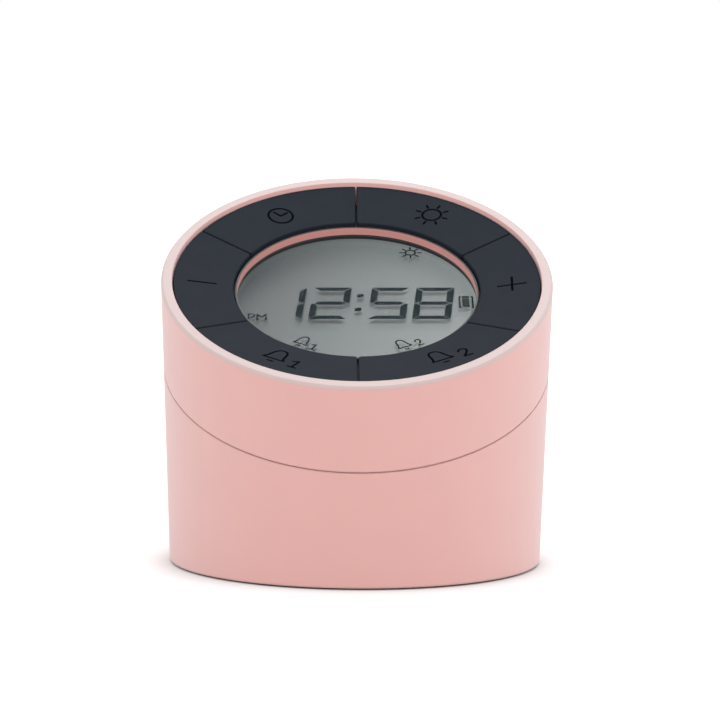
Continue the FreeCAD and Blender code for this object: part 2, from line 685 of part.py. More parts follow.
def swivel_spindle():
    """Hollow flanged spindle on the swivel axis."""
    spindle = pin(SEAM, Vector(), SPINDLE_RADIUS, FLANGE_TOP, SPINDLE_END)
    spindle = spindle.fuse(pin(SEAM, Vector(), FLANGE_RADIUS, FLANGE_TOP, FLANGE_UNDER)).removeSplitter()
    spindle = spindle.cut(pin(SEAM, Vector(), SPINDLE_BORE, FLANGE_TOP, SPINDLE_END))
    for bearing in turned(SWIVEL_SCREWS, HIGH_SIDE):
        place = circle_spot(bearing, SPINDLE_SCREW_PLACE)
        spindle = spindle.cut(countersink(seat(SEAM, place, FLANGE_TOP), FLANGE_THICKNESS))
        low_place = circle_spot(bearing, WASHER_SCREW_PLACE)
        spindle = spindle.cut(pilot(seat(SEAM, low_place, WASHER_END, True), WASHER_SCREW))
    return spindle


def spindle_screws():
    places = [circle_spot(bearing, SPINDLE_SCREW_PLACE) for bearing in turned(SWIVEL_SCREWS, HIGH_SIDE)]
    return [screw(seat(SEAM, place, FLANGE_TOP), SPINDLE_SCREW, True) for place in places]


def swivel_washer():
    """Retaining washer whose tab runs between the two stops."""
    washer = pin(SEAM, Vector(), FLANGE_RADIUS, SPINDLE_END, WASHER_END)
    tab_length = STOP_TAB_REACH + HUB_WALL
    tab_middle = FLANGE_RADIUS + STOP_TAB_REACH - tab_length / 2
    place = circle_spot(LOW_SIDE, tab_middle)
    tab = block(SEAM, place, HIGH_SIDE, tab_length, STOP_TAB_WIDTH, SPINDLE_END, WASHER_END)
    washer = washer.fuse(tab).removeSplitter()
    washer = washer.cut(pin(SEAM, Vector(), SPINDLE_BORE, SPINDLE_END, WASHER_END))
    for bearing in turned(SWIVEL_SCREWS, HIGH_SIDE):
        place = circle_spot(bearing, WASHER_SCREW_PLACE)
        washer = washer.cut(pin(SEAM, place, SCREW_RADIUS + SCREW_PLAY, SPINDLE_END, WASHER_END))
    return washer


def washer_screws():
    places = [circle_spot(bearing, WASHER_SCREW_PLACE) for bearing in turned(SWIVEL_SCREWS, HIGH_SIDE)]
    return [screw(seat(SEAM, place, WASHER_END, True), WASHER_SCREW) for place in places]


def glide_ring():
    outer = GLIDE_OUTER - GLUE_GAP
    inner = GLIDE_INNER + GLUE_GAP
    return ring(SEAM, outer, inner, SLIDE_PLAY - HALF_GAP, HALF_GAP + GLIDE_GROOVE)


def friction_ring():
    inner = FLANGE_RADIUS - FRICTION_WIDTH
    return ring(SEAM, FLANGE_RADIUS, inner, HUB_END, FRICTION_END)


# Light at the seam

def light_band(outer_inset, inner_inset, top, bottom):
    """Band that follows the drum's wall under the seam."""
    band = drum(outer_inset).cut(drum(inner_inset))
    return band.common(layer(SEAM, top, bottom))


def light_diffuser():
    """Translucent tunnel over the lamps."""
    outer = LIGHT_WALL + LIGHT_PLAY
    inner = CHANNEL_INNER - LIGHT_PLAY
    top = HALF_GAP + LIGHT_STEP
    ring_band = light_band(outer, inner, top, LIGHT_BOARD_TOP)
    tunnel = light_band(outer + DIFFUSER_LEG, inner - DIFFUSER_LEG, top + DIFFUSER_PLATE, LIGHT_BOARD_TOP)
    return ring_band.cut(tunnel)


def light_board():
    return light_band(LIGHT_WALL + LIGHT_PLAY, CHANNEL_INNER - LIGHT_PLAY, LIGHT_BOARD_TOP, LIGHT_FLOOR)


def light_leds():
    radius = drum_radius(SEAM_HEIGHT) - (LIGHT_WALL + CHANNEL_INNER) / 2
    top = LIGHT_BOARD_TOP - LED_HEIGHT
    drift = Vector(0, -SLOPE * LIGHT_BOARD_TOP, 0)
    leds = []
    for bearing in turned(LED_COUNT, 180 / LED_COUNT):
        place = spot(bearing, radius) + drift
        leds.append(block(SEAM, place, heading(bearing) + 90, LED_LENGTH, LED_WIDTH, top, LIGHT_BOARD_TOP))
    return leds


# Lower half

def base_screw_spots():
    rear = (REAR_SCREW_BEARING, 180 - REAR_SCREW_BEARING)
    front = (180 + FRONT_SCREW_BEARING, 360 - FRONT_SCREW_BEARING)
    return [circle_spot(bearing, BASE_SCREW_PLACE) for bearing in rear + front]


def lower_housing():
    """Pink drum below the seam: slanted deck, light channel, hub, stops and screw bosses."""
    shell = drum(0, FOOT_STAND).common(layer(SEAM, HALF_GAP, FAR))
    foot_edge = [edge for edge in shell.Edges if edge.BoundBox.ZMax < FOOT_STAND + HALF_GAP]
    shell = shell.makeChamfer(FOOT_BEVEL, foot_edge)
    wide = drum(WALL, PLATE_TOP).common(layer(SEAM, CHANNEL_UNDER, FAR))
    tall = drum(CHANNEL_INNER + LIGHT_WALL, PLATE_TOP).common(layer(SEAM, DECK_UNDER, FAR))
    shell = shell.cut(wide).cut(tall)
    shell = shell.cut(drum(PLATE_WALL, 0, PLATE_TOP))
    shell = shell.cut(light_band(LIGHT_WALL, CHANNEL_INNER, 0, LIGHT_FLOOR))
    shell = shell.cut(ring(SEAM, GLIDE_OUTER, GLIDE_INNER, 0, HALF_GAP + GLIDE_GROOVE))
    hub_radius = SPINDLE_RADIUS + HUB_WALL
    shell = shell.fuse(pin(SEAM, Vector(), hub_radius, HALF_GAP + LOWER_DECK / 2, HUB_END))
    for side in (-1, 1):
        shell = shell.fuse(swivel_stop(side))
    inside = drum(WALL / 2, PLATE_TOP)
    for place in base_screw_spots():
        shell = shell.fuse(pin(FLOOR, place, BOSS_RADIUS, -BOSS_TOP, -PLATE_TOP))
        shell = shell.fuse(boss_web(place).common(inside))
    shell = shell.cut(pin(SEAM, Vector(), SPINDLE_RADIUS + SPINDLE_PLAY, 0, HUB_END))
    for place in base_screw_spots():
        shell = shell.cut(pilot(seat(FLOOR, place, -PLATE_LOW - SCREW_WELL, True), LONG_SCREW))
    return shell.cut(charging_port()).removeSplitter()


def swivel_stop(side):
    """Stop on the deck's underside that the washer's tab meets at one end of the swivel."""
    reach = FLANGE_RADIUS + STOP_TAB_REACH
    inner = FLANGE_RADIUS + STOP_INNER_PLAY
    place = Vector(side * (inner + reach) / 2, STOP_TAB_WIDTH / 2 + STOP_PLAY + STOP_WIDTH / 2, 0)
    return block(SEAM, place, 0, reach - inner, STOP_WIDTH, DECK_UNDER - LOWER_DECK / 2, WASHER_END)


def boss_web(place):
    """Rib from a screw boss out to the drum wall."""
    turn = math.degrees(math.atan2(place.y, place.x))
    radius = math.hypot(place.x, place.y)
    length = BASE_RADIUS - radius
    middle = circle_spot(turn, radius + length / 2)
    return block(FLOOR, middle, turn, length, BOSS_WEB, -BOSS_TOP, -PLATE_TOP)


def socket_mouth():
    return drum_radius(SOCKET_MIDDLE) - SOCKET_RECESS


def charging_port():
    """Opening through the wall at the back, with a shallow recess round it."""
    width = SOCKET_WIDTH + 2 * SOCKET_PLAY
    height = SOCKET_HEIGHT + 2 * SOCKET_PLAY
    opening = slot_bar(width, height, BASE_RADIUS - 2 * WALL, REACH, SOCKET_MIDDLE)
    recess_front = drum_radius(SOCKET_MIDDLE) - PORT_FLARE_DEPTH
    recess = slot_bar(width + 2 * PORT_FLARE, height + 2 * PORT_FLARE, recess_front, REACH, SOCKET_MIDDLE)
    return opening.fuse(recess)


def standoff_spots():
    half = MAIN_BOARD_WIDTH / 2 - STANDOFF_INSET
    front = MAIN_BOARD_FRONT + STANDOFF_INSET
    back = MAIN_BOARD_BACK - STANDOFF_INSET
    return [Vector(x, y, 0) for x in (-half, half) for y in (front, back)]


def base_plate():
    """Plate that closes the underside, with the foot groove, sound slots and board standoffs."""
    radius = drum_radius(PLATE_LOW) - PLATE_WALL - PLATE_PLAY
    plate = Part.makeCylinder(radius, PLATE_THICKNESS, Vector(0, 0, PLATE_LOW))
    plate = plate.cut(ring(FLOOR, FOOT_OUTER, FOOT_INNER, -PLATE_LOW - FOOT_GROOVE, -PLATE_LOW))
    for place in standoff_spots():
        plate = plate.fuse(pin(FLOOR, place, STANDOFF_RADIUS, -MAIN_BOARD_HEIGHT, -PLATE_TOP))
    for place in standoff_spots():
        plate = plate.cut(pilot(seat(FLOOR, place, -MAIN_BOARD_TOP), BOARD_SCREW))
    for place in base_screw_spots():
        well_radius = SCREW_HEAD_RADIUS + SCREW_HOLE_PLAY
        hole_radius = SCREW_RADIUS + SCREW_HOLE_PLAY
        plate = plate.cut(pin(FLOOR, place, well_radius, -PLATE_LOW - SCREW_WELL, -PLATE_LOW))
        plate = plate.cut(pin(FLOOR, place, hole_radius, -PLATE_TOP, -PLATE_LOW))
    for index in range(GRILLE_SLOTS):
        step = (index - (GRILLE_SLOTS - 1) / 2) * GRILLE_SPACING
        place = Vector(0, SOUNDER_PLACE + step, 0)
        plate = plate.cut(block(FLOOR, place, 0, GRILLE_LENGTH, GRILLE_WIDTH, -PLATE_TOP, -PLATE_LOW))
    return plate


def foot_ring():
    foot = ring(FLOOR, FOOT_OUTER, FOOT_INNER, -PLATE_LOW - FOOT_GROOVE, 0)
    return foot.makeChamfer(FOOT_EDGE, [edge for edge in foot.Edges if edge.BoundBox.ZMax < FOOT_EDGE])


def base_screws():
    seats = [seat(FLOOR, place, -PLATE_LOW - SCREW_WELL, True) for place in base_screw_spots()]
    return [screw(frame, LONG_SCREW) for frame in seats]


def cell_axis(radius, length):
    """Cylinder on the axis of the rechargeable cell, centred on the clock's middle."""
    return Part.makeCylinder(radius, length, Vector(-length / 2, CELL_PLACE, CELL_HEIGHT), Vector(1, 0, 0))


def battery_cell():
    cell = cell_axis(CELL_RADIUS, CELL_LENGTH)
    return cell.makeChamfer(CELL_EDGE, [edge for edge in cell.Edges if edge.BoundBox.XLength < CELL_EDGE])


def battery_cradle():
    """Two saddles that snap round the cell, on one foot."""
    width = 2 * CRADLE_HALF
    middle = Vector(0, CELL_PLACE, 0)
    foot_top = PLATE_TOP + CRADLE_FLOOR
    top = CELL_HEIGHT + CRADLE_GRIP
    cradle = block(FLOOR, middle, 0, CRADLE_SPACING + CRADLE_WIDTH, width, -foot_top, -PLATE_TOP)
    for side in (-1, 1):
        place = middle + Vector(side * CRADLE_SPACING / 2, 0, 0)
        cradle = cradle.fuse(block(FLOOR, place, 0, CRADLE_WIDTH, width, -top, -PLATE_TOP))
    return cradle.cut(cell_axis(CELL_RADIUS + CELL_PLAY, REACH)).removeSplitter()


def battery_tabs():
    tabs = []
    for side in (-1, 1):
        place = Vector(side * (CELL_LENGTH + CONTACT_THICKNESS) / 2, CELL_PLACE, 0)
        low = CELL_HEIGHT - CONTACT_SIZE / 2
        tabs.append(block(FLOOR, place, 0, CONTACT_THICKNESS, CONTACT_SIZE, -low - CONTACT_SIZE, -low))
    return tabs


def main_board():
    """Board with a tongue that carries the charging socket at the wall."""
    depth = MAIN_BOARD_BACK - MAIN_BOARD_FRONT
    corner = Vector(-MAIN_BOARD_WIDTH / 2, MAIN_BOARD_FRONT, MAIN_BOARD_HEIGHT)
    board = Part.makeBox(MAIN_BOARD_WIDTH, depth, MAIN_BOARD_THICKNESS, corner)
    tongue_end = drum_radius(MAIN_BOARD_HEIGHT) - WALL - TONGUE_WALL_GAP
    corner = Vector(-TONGUE_WIDTH / 2, 0, MAIN_BOARD_HEIGHT)
    board = board.fuse(Part.makeBox(TONGUE_WIDTH, tongue_end, MAIN_BOARD_THICKNESS, corner)).removeSplitter()
    hole_radius = SCREW_RADIUS + SCREW_HOLE_PLAY
    for place in standoff_spots():
        board = board.cut(pin(FLOOR, place, hole_radius, -MAIN_BOARD_TOP, -MAIN_BOARD_HEIGHT))
    return board


def main_board_screws():
    return [screw(seat(FLOOR, place, -MAIN_BOARD_TOP), BOARD_SCREW) for place in standoff_spots()]


def main_board_parts():
    """Chips and the header of the lead to the head."""
    parts = []
    middle = Vector(0, (MAIN_BOARD_FRONT + MAIN_BOARD_BACK) / 2, 0)
    chip_top = MAIN_BOARD_TOP + CHIP_HEIGHT
    for x, y in CHIP_PLACES:
        place = middle + Vector(x, y, 0)
        parts.append(block(FLOOR, place, 0, CHIP_SIZE, CHIP_SIZE, -chip_top, -MAIN_BOARD_TOP))
    parts.append(block(FLOOR, lead_foot(), 0, HEADER_SIZE, HEADER_SIZE, -HEADER_TOP, -MAIN_BOARD_TOP))
    return parts


def charging_socket():
    """Flat socket with a tongue, mouth towards the back."""
    mouth = socket_mouth()
    front = mouth - SOCKET_LENGTH
    shell = slot_bar(SOCKET_WIDTH, SOCKET_HEIGHT, front, mouth, SOCKET_MIDDLE)
    room_width = SOCKET_WIDTH - 2 * SOCKET_SHELL
    room_height = SOCKET_HEIGHT - 2 * SOCKET_SHELL
    shell = shell.cut(slot_bar(room_width, room_height, front + SOCKET_BACK, mouth, SOCKET_MIDDLE))
    corner = Vector(-SOCKET_TONGUE_WIDTH / 2, front + SOCKET_BACK / 2, SOCKET_MIDDLE - SOCKET_TONGUE / 2)
    length = SOCKET_LENGTH - SOCKET_BACK
    return shell.fuse(Part.makeBox(SOCKET_TONGUE_WIDTH, length, SOCKET_TONGUE, corner)).removeSplitter()


def sounder():
    middle = Vector(0, SOUNDER_PLACE, PLATE_TOP)
    can = Part.makeCylinder(SOUNDER_RADIUS, SOUNDER_LIP, middle)
    can = can.fuse(Part.makeCylinder(SOUNDER_CAN_RADIUS, SOUNDER_HEIGHT, middle)).removeSplitter()
    return can.cut(Part.makeCylinder(SOUNDER_THROAT, SOUNDER_LIP, middle))


def lead_foot():
    """Where the lead stands on the main board: under its bend on the swivel axis."""
    return Vector(0, SEAM.multVec(Vector(0, 0, -LEAD_TURN_DEPTH)).y, 0)


def base_lead():
    """Wire bundle: up from the board, round one bend, then along the swivel axis."""
    bend = SEAM.multVec(Vector(0, 0, -LEAD_TURN_DEPTH))
    trim = LEAD_BEND * math.tan(math.radians(TILT) / 2)
    upward = Vector(0, 0, 1)
    slanted = SEAM.Rotation.multVec(upward)
    start = Vector(0, bend.y, HEADER_TOP)
    bend_start = bend - upward * trim
    bend_end = bend + slanted * trim
    end = SEAM.multVec(Vector(0, 0, -SLIDE_PLAY))
    hub = bend_start + Vector(0, -LEAD_BEND, 0)
    half_turn = math.radians(TILT) / 2
    bend_middle = hub + Vector(0, LEAD_BEND * math.cos(half_turn), LEAD_BEND * math.sin(half_turn))
    path = Part.Wire([
        Part.makeLine(start, bend_start),
        Part.Arc(bend_start, bend_middle, bend_end).toShape(),
        Part.makeLine(bend_end, end),
    ])
    profile = Part.Wire(Part.makeCircle(LEAD_RADIUS, start, upward))
    return path.makePipeShell([profile], True, False)


def head_lead():
    return pin(SEAM, Vector(), LEAD_RADIUS, BOARD_UNDER - SEAM_DEPTH, 0)


def main():
    os.makedirs("parts", exist_ok=True)
    save("lower_housing", [lower_housing()])
    save("base_plate", [base_plate()])
    save("foot_ring", [foot_ring()])
    save("base_screws", base_screws())
    save("battery_cell", [battery_cell()])
    save("battery_cradle", [battery_cradle()])
    save("battery_tabs", battery_tabs())
    save("main_board", [main_board()])
    save("main_board_screws", main_board_screws())
    save("main_board_parts", main_board_parts())
    save("charging_socket", [charging_socket()])
    save("sounder", [sounder()])
    save("light_diffuser", [light_diffuser()])
    save("light_board", [light_board()])
    save("light_leds", light_leds())
    save("glide_ring", [glide_ring()])
    save("friction_ring", [friction_ring()])
    save("base_lead", [base_lead()])
    save("upper_housing", [upper_housing()])
    save("swivel_spindle", [swivel_spindle()])
    save("spindle_screws", spindle_screws())
    save("swivel_washer", [swivel_washer()])
    save("washer_screws", washer_screws())
    save("key_frame", [key_frame()])
    save("frame_screws", frame_screws())
    save("inner_collar", [inner_collar()])
    save("display_gasket", [display_gasket()])
    save("display_lens", [display_lens()])
    save("lcd_panel", [lcd_panel()])
    save("lcd_backlight", [lcd_backlight()])
    save("lcd_connector", [connector_block(0)])
    save("lcd_holder", [lcd_holder()])
    save("head_board", [head_board()])
    save("head_board_screws", head_board_screws())
    save("head_driver", [head_driver()])
    save("switch_bodies", [switch_body(bearing) for bearing in KEYS.values()])
    save("head_lead", [head_lead()])
    for name, bearing in KEYS.items():
        save("key_" + name, [key(bearing)])
        save("plunger_" + name, [plunger(bearing)])


main()
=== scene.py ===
import json
import math

import bmesh
import bpy
from mathutils import Matrix, Vector
from mathutils.bvhtree import BVHTree


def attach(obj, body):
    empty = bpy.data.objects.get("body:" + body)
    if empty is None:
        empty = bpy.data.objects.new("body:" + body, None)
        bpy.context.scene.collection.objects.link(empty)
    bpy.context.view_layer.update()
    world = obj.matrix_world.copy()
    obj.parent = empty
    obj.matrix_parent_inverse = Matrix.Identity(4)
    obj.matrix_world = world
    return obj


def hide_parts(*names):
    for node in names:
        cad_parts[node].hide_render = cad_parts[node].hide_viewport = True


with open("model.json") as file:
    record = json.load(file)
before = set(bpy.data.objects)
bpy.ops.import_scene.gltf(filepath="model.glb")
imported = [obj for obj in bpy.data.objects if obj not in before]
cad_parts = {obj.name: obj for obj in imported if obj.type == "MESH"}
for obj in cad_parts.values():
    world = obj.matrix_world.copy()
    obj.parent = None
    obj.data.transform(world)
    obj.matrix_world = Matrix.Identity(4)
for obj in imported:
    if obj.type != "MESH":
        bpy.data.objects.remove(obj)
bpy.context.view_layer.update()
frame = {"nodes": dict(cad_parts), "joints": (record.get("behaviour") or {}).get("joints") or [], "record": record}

# Looks of the slanted-top alarm clock. Lengths named here are in millimetres unless said
# otherwise, and MM turns them into the frame's metres. Places on the face are (x, y) in its
# own slanted plane, from its middle: x to the reader's right, y up the slope. Turns there
# are in degrees, anticlockwise. Colours are linear.

MM = 0.001

# Display
LCD_TURN = 0.88                # the display sits a little turned in its well
DIGIT_WIDTH = 8.85
DIGIT_HEIGHT = 14.65
DIGIT_BAR = 1.55
DIGIT_GAP = 0.17               # half of the gap between two bars
DIGIT_SPLIT = 0.32             # half of the gap between an upper and a lower bar
DIGIT_LEAN = math.tan(math.radians(6.15))
DIGIT_LOW = -6.28              # lower edge of the digits
DIGIT_PLACES = (("1", -21.67), ("2", -11.32), ("5", 2.22), ("8", 12.55))  # with their left edges
DIGIT_BARS = {"1": "bc", "2": "abged", "5": "afgcd", "8": "abcdefg"}
COLON_DOTS = ((0.96, 4.48), (0.29, -1.9))
COLON_SIZE = (1.5, 1.6)
CRYSTAL_DEPTH = 0.05           # dark cells below the panel's upper face
CRYSTAL_THICKNESS = 0.02
REFLECTOR_DROP = 1.25          # reflector below the panel's upper face
REFLECTOR_THICKNESS = 0.6
REFLECTOR_EDGE = 0.05          # its edge inside the panel's edge
BORDER_INNER = 27.9            # inner half width of the ring that closes the display's edge

# Painted light on the display: tones from painted shade at the upper left to painted reflected light at the low
# right
LCD_SHADED_TONE = (0.122, 0.136, 0.141)
LCD_LIT_TONE = (0.365, 0.405, 0.400)
LCD_SHADE_SPAN = (24.0, 18.0)        # the painted shade and light drift this far either way of the origin, along X and Y
LCD_SHADE_ACROSS = 0.76              # share of that painted drift that runs along X, the rest runs along Y
LCD_PAINTED_GLOW = 0.64                # share of the tone that the display gives by itself: a painted glow that evens out the shade in its well
LCD_BASE = 0.26                # share that it takes from the lamps
SHADOW_ALPHA = 0.07            # one of the shifted layers that make up a soft shadow
SHADOW_STEP = 0.02             # height between the layers
SHADOW_HALF = SHADOW_STEP / 8  # half of a layer's thickness
SHADOW_SHIFTS = ((-0.2, -0.26), (0.2, 0.26))

# Coating
PINK = (0.735, 0.357, 0.323)
SHEEN = 0.55
SHEEN_ROUGHNESS = 0.8
PINK_ROUNDING = 0.4            # how far sharp pink edges shade round
# Painted highlight: the rim's top is a paler pink for the sheen it catches
RIM_HIGHLIGHT_PINK = (0.575, 0.405, 0.388)
RIM_HIGHLIGHT_BAND = (0.50, 0.62)        # the rim's painted highlight, a paler pink for the sheen its top catches, ends between these depths
RIM_HIGHLIGHT_EDGE = 0.05                # and starts this far outside its inner edge
RIM_HIGHLIGHT_FADE = 0.2                 # over this width
COLLAR_PINK = (0.790, 0.330, 0.300)
COLLAR_SHEEN = 0.1
COLLAR_BAND = (0.10, 1.84)     # the collar is pink between these depths below its top, and painted dark as shade above and below
COLLAR_FADE = 0.04             # half the width of the change there
COLLAR_SKIN = (0.08, 0.16)     # its pink ends between these distances behind its inner wall, and painted shade covers its top and outer side
# dark plastic colour, painted as shade in the recesses inside the upper half and round the collar
DARK_PLASTIC_SHADE = (0.03, 0.03, 0.032)
INNER_SHADE_RADIUS = 42.4             # inside this radius the upper half's walls are painted dark as shade
INNER_SHADE_DEPTH = 1.0               # down to here the inside of the rim is coated, below it is painted shade
INNER_SHADE_FADE = 0.1
RIM_FLAT = 0.002               # corners this near to the top give the rim's middle
RIM_NEAR = 0.02                # and this near to it, the rim's inner edge

# Legends on the keys
LEGEND_LINE = 0.54
LEGEND_RISE = 0.012            # the dark filling stands this far out of the key
LEGEND_SINK = 0.12
LEGEND_START = 5.0             # the drawing drops onto the keys from this far above the rim

# Drawing
STROKE_STEP = 0.12             # between the rows of corners along a line
CAP_ANGLES = (25, 50, 70, 85)  # rows round the end of a line
CURVE_PARTS = 6                # between two points of a curve
CIRCLE_POINTS = 48
OVAL_POINTS = 160
SHARP_EDGE = 32                # edges that turn by more than this stay sharp, degrees

# Stage, light and camera
FLOOR_REACH = 6.0              # metres from the clock's axis to the floor's sides
FLOOR_GLOW = (0.32, 0.72)      # glow beside the clock and far from it
FLOOR_GLOW_REACH = (0.06, 0.40)  # where those are, metres from the clock's axis
FLOOR_TONES = ((0.84, 0.84, 0.84), (0.86, 0.86, 0.86))
FLOOR_BOUNCE = (0.80, 0.79, 0.79)
CONTACT_SHADE_REACH = 11.0           # the floor is painted darker, as shade, this near to the clock
CONTACT_OPEN = 0.9             # share of open sky at which that ends
CONTACT_SHADE_TONE = (0.50, 0.50, 0.50)
SKY_LOW = 1.01                 # light from near the horizon
SKY_HIGH = 0.55                # light from straight above
AIM = Vector((0, 0, 0.035))    # the lamps face this, metres
LAMPS = {                      # place and size in metres, and watts
    "side_right": ((0.75, -0.15, 0.35), (0.7, 0.7), 1.0),
    "side_left": ((-0.75, -0.30, 0.35), (0.7, 0.7), 0.75),
    "front": ((0.05, -0.95, 0.60), (0.8, 0.6), 1.8),
    "overhead": ((0.0, -0.15, 0.80), (0.5, 0.5), 0.55),
    "high_back": ((0.10, 0.62, 0.85), (0.6, 0.4), 2.6),
}
CAMERA_DISTANCE = 0.85046      # metres from the point that it looks at
CAMERA_AIM = Vector((0.836, 0.0, 46.513)) * MM
CAMERA_RISE = math.radians(5.924)
CAMERA_YAW = math.radians(0.704)
CAMERA_ROLL = math.radians(0.512)
CAMERA_CLIP = (0.05, 40.0)     # metres
SENSOR = 36.0
LENS = 184.98

nodes = frame["nodes"]
scene = bpy.context.scene

# The slanted face, read from the frame. The clock's round outlines there are ellipses, longer
# along the slope: they are circles when they are seen from straight above.
swivel = next(joint for joint in frame["joints"] if joint["name"] == "head_swivel")
NORMAL = Vector(swivel["axis"]).normalized()
RIGHT = Vector((1, 0, 0))
UP_SLOPE = NORMAL.cross(RIGHT)


def corners_of(node):
    return [vertex.co for vertex in nodes[node].data.vertices]


def top_along_normal(node):
    return max(corner.dot(NORMAL) for corner in corners_of(node))


def near_top(node, reach):
    """A node's corners within this many millimetres of its top."""
    top = top_along_normal(node)
    return [corner for corner in corners_of(node) if top - corner.dot(NORMAL) < reach * MM]


def middle_of(corners):
    """Point on the axis of a round outline of the face, with no height along the normal."""
    along = [corner.dot(UP_SLOPE) for corner in corners]
    across = [corner.dot(RIGHT) for corner in corners]
    return RIGHT * (min(across) + max(across)) / 2 + UP_SLOPE * (min(along) + max(along)) / 2


RIM_TOP = top_along_normal("upper_housing")
FACE = middle_of(near_top("upper_housing", RIM_FLAT)) + NORMAL * RIM_TOP


def on_face(x, y, depth=0.0):
    """Point of the slanted plane this far below the rim."""
    return FACE + (RIGHT * x + UP_SLOPE * y - NORMAL * depth) * MM


def depth_of(node):
    """How far a node's top lies below the rim, in millimetres."""
    return (RIM_TOP - top_along_normal(node)) / MM


def inner_radius(corners, middle):
    """Least distance from a middle to the corners' places on the face, seen from straight above."""
    turned = [(corner - middle).cross(NORMAL) for corner in corners]
    return min(math.hypot(turn.x * NORMAL.z, turn.y / NORMAL.z) for turn in turned)


# Materials

class Painter:
    """Builds one procedural material, or the world, node by node."""

    def __init__(self, holder, output="ShaderNodeOutputMaterial", place="Object"):
        holder.use_nodes = True
        self.holder = holder
        self.tree = holder.node_tree
        self.tree.nodes.clear()
        self.output = self.node(output)
        self.place = self.node("ShaderNodeTexCoord").outputs[place]

    def node(self, kind, **settings):
        made = self.tree.nodes.new(kind)
        for name, value in settings.items():
            setattr(made, name, value)
        return made

    def link(self, source, target):
        self.tree.links.new(source, target)

    def maths(self, operation, first, second, **settings):
        """Result of arithmetic on two factors."""
        step = self.node("ShaderNodeMath", operation=operation, **settings)
        self.link(first, step.inputs[0])
        self.link(second, step.inputs[1])
        return step.outputs["Value"]

    def vector(self, operation, source, value=None, result="Vector"):
        """Result of arithmetic on a vector and a fixed one."""
        step = self.node("ShaderNodeVectorMath", operation=operation)
        self.link(source, step.inputs[0])
        if value is not None:
            step.inputs[1].default_value = value
        return step.outputs[result]

    def along(self, axis):
        """One coordinate of the place."""
        split = self.node("ShaderNodeSeparateXYZ")
        self.link(self.place, split.inputs["Vector"])
        return split.outputs[axis]

    def noise(self, size, detail=2.0, roughness=0.5, stretch=None):
        """Noise whose features are about this many millimetres across."""
        source = self.place
        if stretch:
            mapping = self.node("ShaderNodeMapping")
            self.link(source, mapping.inputs["Vector"])
            mapping.inputs["Scale"].default_value = stretch
            source = mapping.outputs["Vector"]
        texture = self.node("ShaderNodeTexNoise")
        self.link(source, texture.inputs["Vector"])
        texture.inputs["Scale"].default_value = 1 / (size * MM)
        texture.inputs["Detail"].default_value = detail
        texture.inputs["Roughness"].default_value = roughness
        return texture.outputs["Fac"]

    def cells(self, size, **settings):
        """Distance to scattered points, or cell edges, about this many millimetres apart."""
        texture = self.node("ShaderNodeTexVoronoi", **settings)
        self.link(self.place, texture.inputs["Vector"])
        texture.inputs["Scale"].default_value = 1 / (size * MM)
        return texture.outputs["Distance"]

    def spread(self, source, low, high, start=0.3, end=0.7):
        """Turns a range, by default a texture's middle one, into the range from low to high."""
        mapped = self.node("ShaderNodeMapRange")
        self.link(source, mapped.inputs["Value"])
        for name, value in (("From Min", start), ("From Max", end), ("To Min", low), ("To Max", high)):
            mapped.inputs[name].default_value = value
        return mapped.outputs["Result"]

    def patches(self, size, detail=2.0):
        """Factor that drifts between 0 and 1 over about this many millimetres."""
        return self.spread(self.noise(size, detail), low=0.0, high=1.0)

    def step(self, source, start, end):
        """Factor that goes from 0 at start to 1 at end."""
        return self.spread(source, 0.0, 1.0, start, end)

    def blend(self, factor, first, second):
        """Colour between two, by a factor."""
        mix = self.node("ShaderNodeMix", data_type="RGBA")
        self.link(factor, mix.inputs["Factor"])
        for socket, value in ((mix.inputs["A"], first), (mix.inputs["B"], second)):
            if isinstance(value, bpy.types.NodeSocket):
                self.link(value, socket)
            else:
                socket.default_value = (*value, 1)
        return mix.outputs["Result"]

    def rounded(self, radius):
        """Normal that runs round sharp edges over this many millimetres."""
        bevel = self.node("ShaderNodeBevel", samples=6)
        bevel.inputs["Radius"].default_value = radius * MM
        return bevel.outputs["Normal"]

    def bump(self, heights, normal=None):
        """Normal from (height, depth in millimetres, strength) layers over another normal."""
        for height, depth, strength in heights:
            bump = self.node("ShaderNodeBump")
            self.link(height, bump.inputs["Height"])
            bump.inputs["Distance"].default_value = depth * MM
            bump.inputs["Strength"].default_value = strength
            if normal:
                self.link(normal, bump.inputs["Normal"])
            normal = bump.outputs["Normal"]
        return normal

    def surface(self, colour, roughness, normal=None, glow=None, **constants):
        """Finishes the material with these sockets, and constants on the shader's others."""
        shader = self.node("ShaderNodeBsdfPrincipled")
        linked = {"Base Color": colour, "Roughness": roughness, "Normal": normal, "Emission Color": glow}
        for name, source in linked.items():
            if source is not None:
                self.link(source, shader.inputs[name])
        for name, value in constants.items():
            shader.inputs[name.replace("_", " ")].default_value = value
        return self.finish(shader.outputs["BSDF"])

    def finish(self, shader):
        self.link(shader, self.output.inputs["Surface"])
        return self.holder


def painter(name):
    return Painter(bpy.data.materials.new(name))


def scaled(colour, factor):
    return tuple(channel * factor for channel in colour)


def moulded(name, colour, rough, grain=0.25, relief=0.006, tint=0.03, **constants):
    """Moulded plastic or rubber: a fine grain, uneven gloss and a slight drift of colour."""
    paint = painter(name)
    drift = paint.patches(size=9.0, detail=3.0)
    base = paint.blend(drift, scaled(colour, 1 - tint), scaled(colour, 1 + tint / 2))
    base = paint.blend(paint.patches(grain), base, scaled(colour, 1 - tint / 2))
    roughness = paint.spread(paint.noise(grain * 2, detail=3.0), rough - 0.05, rough + 0.05)
    layers = [(paint.noise(grain), relief, 0.6), (paint.cells(grain * 1.6), relief, 0.25)]
    return paint.surface(base, roughness, paint.bump(layers), **constants)


def height_on_axis(paint):
    """How far along the face's normal a point lies."""
    return paint.vector("DOT_PRODUCT", paint.place, NORMAL, result="Value")


